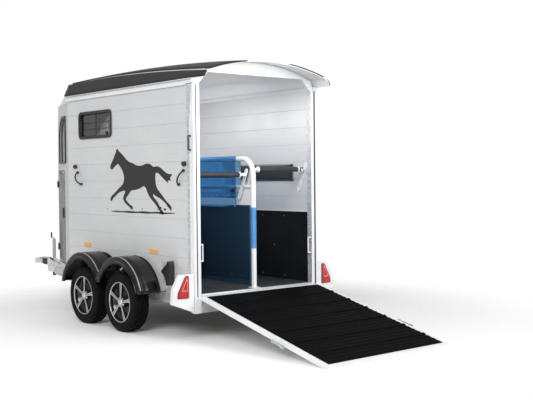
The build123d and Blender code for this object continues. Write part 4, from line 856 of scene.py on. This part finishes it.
def guard_section(upper, lower, side):
    """Across the mudguard at one place: from its inner edge over the ridge and down the flange. The inner edge
    reaches the wall in front of each axle."""
    def ramp(distance):
        return min(max(distance, 0), 1)

    x, upper, lower = upper[0], Vector(upper), Vector(lower)
    depth, down = (lower - upper).length, (lower - upper).normalized()
    inner = 926 - 93 * (ramp((x - FRONT_X) / 120) + ramp((x - REAR_X) / 120) * ramp((MID_X - x) / 60))
    section = [(y, -1 - drop) for y, drop in ((inner, 4), (inner + 3, 1), (936, 0), (1040, 0), (1098, 0), (1106, -8),
                                              (1114, -10), (1128, -8))]
    section += [(1128 + 26 * sin(a), 25 - 25 * cos(a)) for a in spaced(0, pi / 2, 5)[1:]]
    section += [(y, depth * t) for y, t in ((1154, 0.42), (1157.5, 0.46), (1157.5, 0.52), (1154, 0.56), (1154.5, 0.86),
                                            (1160, 0.90), (1160, 0.97), (1153, 1.0), (1140, 1.0))]
    places = [(y, upper + down * fall) for y, fall in section]
    return [at(p.x, side * y, p.y) for y, p in places]


fenders = []
for side, hand in SIDES:
    rows = [guard_section(upper, lower, side) for upper, lower in guard_paths()]
    fenders.append(finish_piece(f"mudguard_{hand}", sheet(rows), fender_black, "trailer_body", 50))
    thicken(fenders[-1], 4)
    middle = at(MID_X, side * 900, WHEEL_R)
    # The band over the ridge is a painted highlight, not a moulded part.
    highlight_rows = [[row[j] + (row[j] - middle).normalized() * 0.0012 for j in (7, 8, 9)] for row in rows[1:-1]]
    thicken(finish_piece(f"mudguard_painted_highlight_{hand}", sheet(highlight_rows), highlight_grey, "trailer_body", 60), 2, 0.0)
    # Black plate on the wall under the mudguard, cut to its arch: painted shade for the dark wall behind the wheels.
    bm = bmesh.new()
    outline = [upper for upper, _ in guard_paths()]
    rear, front = outline[0][0], outline[-1][0]
    add_plate(bm, [at(x + 105 * (front - x) / (front - rear), side * 830.6, z - 18) for x, z in outline],
              (0, side * 0.002, 0))
    finish_piece(f"guard_shade_plate_{hand}", bm, black_plastic, "trailer_body")
    bm = bmesh.new()
    for x in (507, 2202):
        add_block(bm, (x, side * 830.5, 449), (x + 40, side * 1120, 455), 1.0)
        add_rod(bm, at(x + 20, side * 1040, 449), at(x + 20, side * 1040, 442), 8, 8, 6, 1.0)
    finish_piece(f"mudguard_stays_{hand}", bm, black_plastic, "trailer_body")
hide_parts("fenders")


# ---------------------------------------------------------------- loading ramp
# Foamed board in a white aluminium edge frame, folded down on its bottom hinge. A black rubber mat with low ribs
# and raised cleats is vulcanised to it, and an over-centre lever on each edge holds it shut.
to_ramp = Matrix.Translation(at(-47, 0, 424)) @ Matrix.Rotation(radians(-13.05), 4, "Y")


def on_ramp(x, y, z):
    return to_ramp @ Vector((x / 1000, y / 1000, z / 1000))


soften("ramp_frame", white_paint, 0.0025, 3)
soften("ramp_panel", white_paint, 0)
ramp_rubber = material("ramp_rubber", (0.0022, 0.0023, 0.0026), (0.004, 0.004, 0.0044), 0.5, 0.7, drift=4.0,
                       grain=650.0, bump=0.0005, dust=0.0, Specular_IOR_Level=0.03)
RIB_PITCH, MAT_TOP, MAT_HALF = 65.75, 31, 752
mat_section = [(-42, 28.2), (-42, MAT_TOP)]
for i in range(27):
    x = -94 - RIB_PITCH * i
    foot, crest, top = (22, 11, 41.0) if i % 4 == 3 else (13, 9, 33.6)
    mat_section += [(x + foot, MAT_TOP), (x + crest + 2, top - 1), (x + crest, top), (x - crest, top),
                    (x - crest - 2, top - 1), (x - foot, MAT_TOP)]
mat_section += [(-1846, MAT_TOP), (-1846, 28.2)]
bm = bmesh.new()
add_plate(bm, [on_ramp(x, -MAT_HALF, z) for x, z in reversed(mat_section)], (0, 2 * MAT_HALF / 1000, 0))
ramp_mat = finish_piece("ramp_rubber_mat", bm, ramp_rubber, "ramp", 30)
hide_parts("ramp_mat")
bm = bmesh.new()
for y in (-775, 775):
    for i in range(9):
        x = -110 - 205 * i
        add_rod(bm, on_ramp(x, y, 27.6), on_ramp(x, y, 30.6), 6, 4.5, 16, 0.8)
finish_piece("ramp_rivets", bm, zinc_steel, "ramp")
for _, hand in SIDES:
    soften(f"ramp_latch_{hand}", zinc_steel)


# ---------------------------------------------------------------- stall lining
# Black laminate kick panels are screwed to the lower walls, under a thin white cap strip. Padded vinyl panels
# with a grey edge trim are fixed where a horse leans.
kick_black = material("kick_black", (0.009, 0.009, 0.010), (0.015, 0.015, 0.016), 0.4, 0.55, drift=2.0, grain=420.0,
                      bump=0.0003, dust=0.0, Specular_IOR_Level=0.1)
soften("kick_panels", kick_black, 0.001)
bm = bmesh.new()
for side, _ in SIDES:
    add_block(bm, (62, side * 791, 1238.5), (2560, side * 799.5, 1246), 1.5)
finish_piece("kick_cap_strips", bm, white_paint, "trailer_body")


def add_screw(bm, place, out, radius=5.5, height=2.4):
    """Low domed screw head."""
    add_rod(bm, place, place + out * height / 1000, radius, radius * 0.7, 12, 0.5)


bm = bmesh.new()
for side, _ in SIDES:
    inwards = Vector((0, -side, 0))
    for x in (100, 500, 890, 1290, 1690, 2090, 2480):
        for z in (500, 726, 961, 1185) if x in (100, 2480) else (500, 1185):
            add_screw(bm, at(x, side * 791.8, z), inwards)
    add_screw(bm, at(678, side * 791.8, 841), inwards)
    for x in range(160, 2560, 225):
        add_screw(bm, at(x, side * 799.6, 2548), inwards, 4.5)
finish_piece("lining_screws", bm, zinc_steel, "trailer_body")

vinyl_black = material("pad_black", (0.012, 0.012, 0.013), (0.018, 0.018, 0.019), 0.36, 0.52, drift=6.0, grain=900.0,
                       bump=0.0005, dust=0.0)


def pillow(name, bm, cap, voxel=0.006, frames=20, pressure=4.0):
    """Foam or stuffing under its cover: remeshed, swollen as cloth under pressure, and kept within cap
    millimetres of its start."""
    pad = place_mesh(name, bm)
    remesh = pad.modifiers.new("remesh", "REMESH")
    remesh.mode, remesh.voxel_size = "VOXEL", voxel
    bpy.context.view_layer.objects.active = pad
    with bpy.context.temp_override(object=pad, active_object=pad, selected_objects=[pad]):
        bpy.ops.object.modifier_apply(modifier="remesh")
    start = [v.co.copy() for v in pad.data.vertices]
    cloth = pad.modifiers.new("cloth", "CLOTH")
    cloth.settings.use_pressure = True
    cloth.settings.uniform_pressure_force = pressure
    cloth.settings.effector_weights.gravity = 0.0
    cloth.settings.quality = 4
    cloth.collision_settings.use_collision = False
    cloth.point_cache.frame_start, cloth.point_cache.frame_end = 1, frames
    for f in range(1, frames + 1):
        scene.frame_set(f)
    swollen = pad.evaluated_get(bpy.context.evaluated_depsgraph_get()).to_mesh()
    moved = [v.co.copy() for v in swollen.vertices]
    pad.modifiers.remove(cloth)
    scene.frame_set(1)
    for v, a, b in zip(pad.data.vertices, start, moved):
        step = b - a
        v.co = a + step * min(1.0, cap / 1000 / step.length) if step.length else a
    return pad


def finish_pad(pad, skin, body):
    pad.data.materials.append(skin)
    pad.data.shade_smooth()
    soft = pad.modifiers.new("smooth", "SUBSURF")
    soft.levels = soft.render_levels = 1
    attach(pad, body)


pads = []
for side, hand in SIDES:
    bm = bmesh.new()
    add_block(bm, (342, side * 764, 1594), (1322, side * 796, 1772), 8.0, 3)
    bmesh.ops.subdivide_edges(bm, edges=[e for e in bm.edges if e.calc_length() > 0.5], cuts=11)
    pads.append(pillow(f"lean_pad_{hand}", bm, 6.0))
    finish_pad(pads[-1], vinyl_black, "trailer_body")
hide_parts("wall_pads")
bm = bmesh.new()
for side, _ in SIDES:
    rings = []
    for grow, y in ((4, 799.4), (4, 795), (-6, 793), (-6, 799.4)):
        rings.append([at(x, side * y, z) for x, z in rounded_outline(336, 1328, 1588, 1778, 16, grow)])
    trim_mesh = bpy.data.meshes.new("trim")
    trim = bridged(rings + rings[:1])
    trim.to_mesh(trim_mesh)
    trim.free()
    bm.from_mesh(trim_mesh)
    bpy.data.meshes.remove(trim_mesh)
clean_up(bm)
pad_trim_grey = material("pad_trim", (0.35, 0.36, 0.37), (0.28, 0.29, 0.30), 0.35, 0.5, drift=5.0, grain=500.0)
finish_piece("lean_pad_trim", bm, pad_trim_grey, "trailer_body")


# ---------------------------------------------------------------- centre partition
# Bent white tube hoop on two floor plates, with a middle rail and a gusset at each post. Clear blue sheets hang
# from it, and a laced sleeve ties the lower one to the rear post.
soften("partition_frame", white_paint, 0.0015, 2, 30.0)
clear_blue = material("divider_blue", (0.33, 0.64, 0.95), (0.28, 0.60, 0.93), 0.0, 0.05, drift=2.5, grain=300.0,
                      bump=0.0001, dust=0.0, Transmission_Weight=0.97, IOR=1.12)
hem_blue = material("divider_hem", (0.33, 0.62, 0.92), (0.28, 0.57, 0.90), 0.02, 0.1, drift=3.0, grain=300.0,
                    bump=0.0001, dust=0.0, Transmission_Weight=0.82, IOR=1.15)
SHEET_FRONT, SHEET_LOW, SHEET_HIGH = 2230, 478, 1858
bm = bmesh.new()
for y0, y1, z0 in ((31.5, 35.5, 1310), (-35.5, -31.5, 1472)):
    add_block(bm, (344, y0, z0), (SHEET_FRONT, y1, SHEET_HIGH), 1.0)
add_block(bm, (131.5, -2, SHEET_LOW), (SHEET_FRONT, 2, 1333), 1.0)
upper = finish_piece("divider_sheets", bm, clear_blue, "trailer_body")
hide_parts("partition_sheets")
bm = bmesh.new()
for corner, other, soft in (
        ((340, -36.5, 1410), (SHEET_FRONT, -31.2, 1470), 1.5), ((336, 31.2, 1310), (352, 36.5, 1860), 2.0),
        ((336, -36.5, 1472), (352, -31.2, 1860), 2.0), ((344, 31.0, 1852), (SHEET_FRONT, 36.2, 1862), 1.5),
        ((344, -36.2, 1852), (SHEET_FRONT, -31.0, 1862), 1.5), ((131.5, -3, SHEET_LOW), (146, 3, 1333), 1.5)):
    add_block(bm, corner, other, soft)
finish_piece("divider_hems", bm, hem_blue, "trailer_body")


def circle(r, steps=40):
    return [(r * cos(2 * pi * i / steps), r * sin(2 * pi * i / steps)) for i in range(steps)]


rings = [[at(80 + x, y, z) for x, y in circle(r)] for r, z in ((28.0, 878), (31.5, 878), (31.5, 1312), (28.0, 1312))]
bm = bridged(rings + rings[:1])
bmesh.ops.remove_doubles(bm, verts=bm.verts, dist=MERGE)
for z0, z1 in ((880, 965), (985, 1085), (1105, 1205), (1225, 1310)):
    add_block(bm, (110.5, -2.5, z0), (131, 2.5, z1), 1.2)
finish_piece("divider_sleeve", bm, hem_blue, "trailer_body")
bm = bmesh.new()
for x in range(372, SHEET_FRONT, 100):
    for y in (-36.3, 35.5):
        add_screw(bm, at(x, y, 1440), Vector((0, -1 if y < 0 else 1, 0)), 5.0, 2.0)
for z in (922, 1035, 1155, 1267):
    for y in (1, -1):
        add_rod(bm, at(121, y * 2.2, z), at(121, y * 4.0, z), 6.0, 5.0, 20, 0.6)
finish_piece("divider_eyelets", bm, zinc_steel, "trailer_body")


# ---------------------------------------------------------------- rump and breast bars
# Steel bars in foam sleeves. Each pivots in a fork on the partition and rests on a peg on the wall, held by a
# slotted bracket that leans. A knob outside the wall pulls the peg to drop the bar in an emergency.
foam_black = material("bar_pad", (0.018, 0.018, 0.020), (0.028, 0.028, 0.030), 0.32, 0.5, drift=9.0, grain=1100.0,
                      bump=0.0007, dust=0.0)
soften("bar_brackets", white_paint, 0.001)
first_foam = None
for name, x, z, side in (("rump_bar_left", 172.1, 1660, 1), ("rump_bar_right", 146.4, 1715, -1),
                         ("breast_bar_left", 2401.9, 1660, 1), ("breast_bar_right", 2427.6, 1715, -1)):
    bm = bmesh.new()
    add_rod(bm, at(x, side * 88, z), at(x, side * 706, z), 16, segments=28)
    for y0, y1, r in ((112, 124, 33), (684, 698, 33), (698, 703, 24)):
        add_rod(bm, at(x, side * y0, z), at(x, side * y1, z), r, segments=36, bevel=2.0)
    add_rod(bm, at(x - 9, side * 62, z), at(x + 9, side * 62, z), 17, segments=28, bevel=1.0)
    for dx0, y0, dz0, dx1, y1, dz1 in ((-9, 62, -12, 9, 92, 12), (-20, 702, -22, -8.6, 758, 20),
                                       (8.6, 702, -22, 20, 758, 20), (-20, 702, 9, 20, 758, 22),
                                       (-20, 702, -22, 20, 724, 20)):
        add_block(bm, (x + dx0, side * y0, z + dz0), (x + dx1, side * y1, z + dz1), 2.0)
    steel = finish_piece(name + "_steel", bm, white_paint, name)
    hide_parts(name)
    if first_foam is None:
        rings = [[at(x + u, y, z + v) for u, v in circle(r)]
                 for r, y in ((24, 123), (28, 125), (28.6, 132), (28.6, 240), (28.8, 340), (28.6, 440), (28.8, 560),
                              (28.6, 676), (28, 683), (24, 685))]
        foam = pillow(name + "_foam", bridged(rings, True, True), 1.6, 0.005, 14, 3.0)
        first_foam, first_place = foam.data.copy(), at(x, 0, z)
    else:
        bm = bmesh.new()
        bm.from_mesh(first_foam)
        bmesh.ops.translate(bm, verts=bm.verts, vec=at(x, 0, z) - first_place)
        if side < 0:
            bmesh.ops.scale(bm, vec=(1, -1, 1), verts=bm.verts)
            bmesh.ops.reverse_faces(bm, faces=bm.faces)
        foam = place_mesh(name + "_foam", bm)
    finish_pad(foam, foam_black, name)
for bar in ("rump", "breast"):
    for _, hand in SIDES:
        soften(f"{bar}_knob_{hand}", black_plastic, 0.001, 2, 30.0)
soften("outer_handles", [black_plastic, white_paint], 0.0012, 2, 35.0,
       pick=lambda x, y, z: int(800 < z < 952 and abs(y) < 740))


# ---------------------------------------------------------------- rear lamps and side reflectors
# White moulded corner housings carry triangular red lenses with a moulded prism pattern. Amber reflectors are
# glued low on the side walls.
soften("rear_light_housings", white_paint, 0.006, 3)


def build_prisms():
    """Moulded optic: rows of small pyramids behind the face of a lens."""
    tree, place, given, out = new_group("lens_prisms", {"Pitch": 0.008}, ("Height", "Glow"))
    axes = add_node(tree, "SeparateXYZ", {0: place}).outputs
    total = maths(tree, "ADD", ridges(tree, maths(tree, "ADD", axes["X"], axes["Y"]), given["Pitch"]),
                  ridges(tree, axes["Z"], given["Pitch"]))
    return give_out(tree, out, Height=total, Glow=total)


lens_prisms = build_prisms()


def lens_material(name, colour, shade, dark, pitch, smooth=0.08, rough=0.16, coat=0.7):
    """Clear plastic with a prism pattern in its relief, and the facets' light and dark painted into its colour as
    painted shade and highlight.
    """
    made = material(name, colour, shade, smooth, rough, drift=9.0, Coat_Weight=coat)
    prisms = add_node(made.node_tree, "Group", {"Pitch": pitch}, node_tree=lens_prisms).outputs
    # Painted shade and highlight of the prism facets, mixed into the lens colour.
    tint(made, prisms["Glow"], dark)
    add_relief(made, prisms["Height"], 0.35, 0.0012, keep=False)
    return made


lens_red = lens_material("lens_red", (0.62, 0.012, 0.010), (0.50, 0.008, 0.008), (0.34, 0.004, 0.004, 1), 0.009)
lens_clear = lens_material("lens_clear", (0.80, 0.42, 0.40), (0.72, 0.34, 0.32), (0.55, 0.16, 0.15, 1), 0.009)
lens_amber = lens_material("lens_amber", (0.95, 0.48, 0.03), (0.90, 0.42, 0.02), (0.80, 0.33, 0.01, 1), 0.007,
                           0.10, 0.2, 0.5)


def lens_rings(side, steps_in, corners=((905, 436), (1040, 440), (1030, 500), (945, 655), (905, 655)), r=16.0):
    """Rings of the lens's outline with round corners. Each step is how far it is drawn in, and its x."""
    corners = [Vector(c) for c in corners]
    middle = sum(corners, Vector((0, 0))) / len(corners)
    rings = []
    for grow, x in steps_in:
        inner = [c + (middle - c).normalized() * grow for c in corners]
        points = []
        for i, c in enumerate(inner):
            before, after = inner[i - 1], inner[(i + 1) % len(inner)]
            points += bend(c + (before - c).normalized() * r, c, c + (after - c).normalized() * r, 4)
        rings.append([at(x, side * p.x, p.y) for p in points])
    return rings


for side, hand in SIDES:
    bezel = lens_rings(side, ((-4, -0.6), (-4, -5), (0, -9), (4, -9), (5, -6), (7, -6)))
    finish_piece(f"rear_lamp_bezel_{hand}", bridged(bezel), black_plastic, "trailer_body")
    lens = bridged(lens_rings(side, ((5, -5.5), (5, -12), (9, -15), (20, -16))), cap_last=True)
    finish_piece(f"rear_lamp_lens_{hand}", lens, lens_red, "trailer_body")
    bm = bmesh.new()
    reflex = ((925, 508), (998, 508), (940, 628), (925, 628))
    edges = add_ring(bm, [at(-16.4, side * y, z) for y, z in reflex])
    edges += add_ring(bm, [at(-16.4, side * (y + (946 - y) * 0.24), z + (548 - z) * 0.24) for y, z in reflex])
    bmesh.ops.bridge_loops(bm, edges=edges)
    push_out(bm, bm.faces[:], (-0.0014, 0, 0))
    finish_piece(f"rear_lamp_reflex_{hand}", bm, lens_clear, "trailer_body")
    bm = bmesh.new()
    for y, z in ((862, 330), (862, 620), (975, 640), (1070, 420)):
        add_rod(bm, at(0.2, side * y, z), at(-2.4, side * y, z), 6, 4.5, 16, 0.6)
    finish_piece(f"rear_lamp_screws_{hand}", bm, zinc_steel, "trailer_body")
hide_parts("rear_light_lenses")
soften("side_reflectors", lens_amber, 0.002, 3)


# ---------------------------------------------------------------- wheel chock
# Black moulded chock held upright in a galvanised wall bracket. Ribs across its curved face grip the tyre.
soften("chock_holder", galvanised)
CHOCK_Y, CHOCK_WIDTH = 845, 66
arc = bend(Vector((486, 662)), Vector((412, 622)), Vector((392, 530)), 12)
outline = [(335, 530), (335, 748), (343, 760), (347, 776), (353, 778), (373, 778), (378, 774), (376, 758),
           (384, 748), (480, 678)] + [(p.x, p.y) for p in arc]
bm = bmesh.new()
add_plate(bm, [at(x, CHOCK_Y, z) for x, z in outline], (0, CHOCK_WIDTH / 1000, 0))
bmesh.ops.inset_region(bm, faces=[f for f in bm.faces if abs(f.normal.y) > 0.9], thickness=0.010, depth=0.0)
hollow = [f for f in bm.faces if abs(f.normal.y) > 0.9 and len(f.verts) > 6]
bmesh.ops.inset_region(bm, faces=hollow, thickness=0.002, depth=-0.012)
for p, q in zip(arc[1:], arc[2:]):
    c = (p + q) / 2
    add_block(bm, (c.x - 3, CHOCK_Y + 4, c.y - 3), (c.x + 3, CHOCK_Y + CHOCK_WIDTH - 4, c.y + 3), 1.0)
chock = finish_piece("chock_body", bm, black_plastic, "wheel_chock", 30, (0.002, 2))
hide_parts("wheel_chock")


# ---------------------------------------------------------------- overrun hitch
# Galvanised housing bolted to the drawbar, with the cast coupling head on its sliding drawtube, a rubber bellows
# over the tube, the coupling's lift lever and the handbrake lever.
cast_white = material("cast_white", (0.70, 0.71, 0.72), (0.62, 0.63, 0.65), 0.35, 0.5, drift=9.0, grain=350.0,
                      bump=0.0006, dust=0.15)
for node in ("overrun_housing", "coupling_head"):
    soften(node, cast_white, 0.003, 3, 30.0)
soften("coupling_lever", [cast_white, black_plastic], 0.002, 3, 30.0,
       pick=lambda x, y, z: int(x < 4956 and abs(y) > 20))
soften("handbrake_lever", [zinc_steel, black_plastic], 0.002, 2, 30.0,
       pick=lambda x, y, z: int(x > 4596))
bm = bmesh.new()
for x in (4372, 4468):
    for y in (-78, 78):
        add_rod(bm, at(x, y, 377.5), at(x, y, 388), 11, 11, 6, 1.0)
        add_rod(bm, at(x, y, 388), at(x, y, 394), 6, 5, 14, 0.8)
for x in (4620, 4700):
    for y in (-45.5, 45.5):
        add_rod(bm, at(x, y, 400), at(x, y * 1.2, 400), 10, 10, 6, 1.0)
finish_piece("hitch_bolts", bm, zinc_steel, "trailer_body")
bellows_rubber = material("gaiter", (0.016, 0.016, 0.017), (0.026, 0.026, 0.026), 0.42, 0.6, drift=14.0, grain=700.0,
                          dust=0.15)
TUBE_Z, GAITER_X0, FOLDS = 416.0, 4834.0, 9
profile = [(27, 0), (38, 1), (38, 9)]
for i in range(FOLDS):
    a, b = 10 + 162 * i / FOLDS, 10 + 162 * (i + 1) / FOLDS
    profile += [(34, a + 2), (43.5, (a + b) / 2 - 2.5), (44.5, (a + b) / 2), (43.5, (a + b) / 2 + 2.5), (34, b - 1)]
profile += [(38, 173), (38, 181), (27, 182), (26, 181), (26, 1), (27, 0)]
bm = bmesh.new()
turned(bm, [at(GAITER_X0 + along, 0, TUBE_Z + r) for r, along in profile], at(0, 0, TUBE_Z), (1, 0, 0), 48)
clean_up(bm)
bellows = finish_piece("drawtube_bellows", bm, bellows_rubber, "trailer_body", 50)
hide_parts("drawtube_gaiter")
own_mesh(bellows)


# ---------------------------------------------------------------- jockey wheel
# Zinc-plated outer tube clamped beside the housing, an inner tube with the fork, a solid rubber wheel on a
# pressed hub, and the crank on top that winds it up.
for node in ("jockey_outer_tube", "jockey_inner_tube"):
    soften(node, zinc_steel, 0.001, 2, 30.0)
soften("jockey_crank", [zinc_steel, black_plastic], 0.0015, 2, 30.0, pick=lambda x, y, z: int(z > 764))
RUBBER, HUB = 0, 1
bm = bmesh.new()
for side, _ in SIDES:
    lathe(bm, [(r, side * y) for r, y in ((9, 26), (20, 26), (24, 20), (60, 15), (66, 20), (70, 21))], 48, HUB)
tread = [(70, 21), (74, 24), (88, 26), (96, 22), (99.5, 14), (100, 6), (97, 4)]
lathe(bm, tread + [(r, -y) for r, y in reversed(tread)], 64, RUBBER)
lathe(bm, [(9, 26), (9, -26)], 48, HUB)
clean_up(bm)
bmesh.ops.transform(bm, matrix=Matrix.Translation(at(4905, -105, 305)) @ Matrix.Rotation(radians(-27), 4, "Z"),
                    verts=bm.verts)
jockey = finish_piece("jockey_roller", bm, [tyre_rubber, cast_white], "jockey_wheel", 40)
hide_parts("jockey_wheel")


# ---------------------------------------------------------------- vinyl picture
# Cut black vinyl on the left wall: a horse running over open ground, drawn for this trailer.
vinyl_film = material("vinyl_film", (0.010, 0.010, 0.011), (0.016, 0.016, 0.017), 0.3, 0.42, drift=4.0, grain=500.0,
                      bump=0.0001, dust=0.0)
stride = [(46, 42.5), (43, 41), (38, 38.5), (33, 35), (27, 31), (21, 28.6), (15, 27.6), (8, 25.2), (1, 24),
          (-6, 24.4), (-13, 26.2), (-20, 26.6), (-26, 24.6), (-30, 22), (-36, 23.5), (-44, 22), (-52, 17), (-60, 14),
          (-69, 14.5), (-62, 9.5), (-66, 6.5), (-58, 8), (-60, 3.5), (-52, 8), (-46, 11.5), (-40, 15), (-35, 16.5),
          (-33.4, 13), (-33.6, 8), (-34, 3), (-36.5, -1.5), (-41, -5), (-46, -8.4), (-51, -12.5), (-56, -16.4),
          (-60, -18), (-64, -21), (-66.5, -24), (-63, -25.4), (-59.4, -23), (-57, -20.6), (-52.6, -17.6),
          (-47, -14.8), (-42, -12.6), (-37.6, -11.6), (-32, -9.6), (-27.6, -7.6), (-29.4, -11.6), (-33.6, -14.2),
          (-37.6, -17), (-41, -21), (-44.6, -24.6), (-48.4, -27.2), (-50, -30.6), (-46, -31.2), (-42.6, -28.6),
          (-38.6, -24.6), (-34.6, -20.8), (-30, -17.6), (-25, -14.6), (-20.4, -11), (-16, -6), (-13.4, -1), (-9, 1),
          (-3, -1.2), (4, -3), (11, -4), (17, -4), (20.4, -5.6), (24, -9), (28.4, -12), (31.4, -14.4), (28.6, -17),
          (24.2, -19.4), (20.6, -21.6), (17.6, -21.8), (14.6, -24.8), (16.4, -27.2), (20.4, -25.6), (23, -23.6),
          (28, -21.6), (32.6, -19.2), (36.4, -15.8), (37, -12.6), (34.4, -9.2), (31.4, -5.6), (34, -4.4),
          (39.6, -5.4), (45.6, -6.8), (51, -9.4), (56.4, -12.6), (60, -13.8), (62.4, -17.4), (66.6, -17.2),
          (66.4, -13.6), (63, -10.6), (58, -8.6), (52.4, -5.4), (47.4, -2.2), (42, 0), (37, 3), (34.6, 7), (34, 12),
          (36.4, 17), (40, 21.4), (44.4, 25), (47.4, 27.4), (49.6, 26.6), (53, 24.8), (57, 23), (59.8, 21),
          (62.6, 20.2), (65.4, 21.6), (66, 24.4), (63.8, 27.4), (60.4, 31), (57, 35), (54.4, 38.6), (52, 41),
          (51.6, 45.4), (49.2, 43), (48.2, 46.6)]
horse = [(1010 + 9.4 * u, 1540 + 9.4 * v) for u, v in stride]
ground_stroke = [(1660, 1262), (1500, 1272), (1380, 1266), (1240, 1276), (1080, 1268), (940, 1280), (800, 1270),
                 (660, 1280), (520, 1272), (380, 1276), (300, 1268), (420, 1262), (560, 1254), (720, 1260),
                 (880, 1250), (1040, 1256), (1200, 1248), (1360, 1256), (1520, 1252)]
specks = [(520, 1306, 16), (462, 1340, 10), (600, 1322, 11), (410, 1300, 8), (660, 1300, 8), (1700, 1282, 8),
          (960, 1300, 8)]


def smooth_outline(points):
    """Closed curve that passes near given points, with tight corners kept."""
    done = []
    for i, b in enumerate(points):
        a, b, c = Vector(points[i - 1]), Vector(b), Vector(points[(i + 1) % len(points)])
        done += bend((a + b) / 2, b, (b + c) / 2, 5)[:-1]
    return done


def speck(x, z, r):
    return [Vector((x + r * cos(a * pi / 6) * 1.4, z + r * sin(a * pi / 6) * 0.8)) for a in range(12)]


bm = bmesh.new()
for shape in [smooth_outline(s) for s in (horse, ground_stroke)] + [speck(*s) for s in specks]:
    ring = add_ring(bm, [at(p.x, 830.25, p.y) for p in shape])
    for face in bmesh.ops.contextual_create(bm, geom=ring)["faces"]:
        face.normal_update()
        if face.normal.y < 0:
            face.normal_flip()
push_out(bm, bm.faces[:], (0, 0.0004, 0))
finish_piece("vinyl_horse", bm, vinyl_film, "trailer_body")
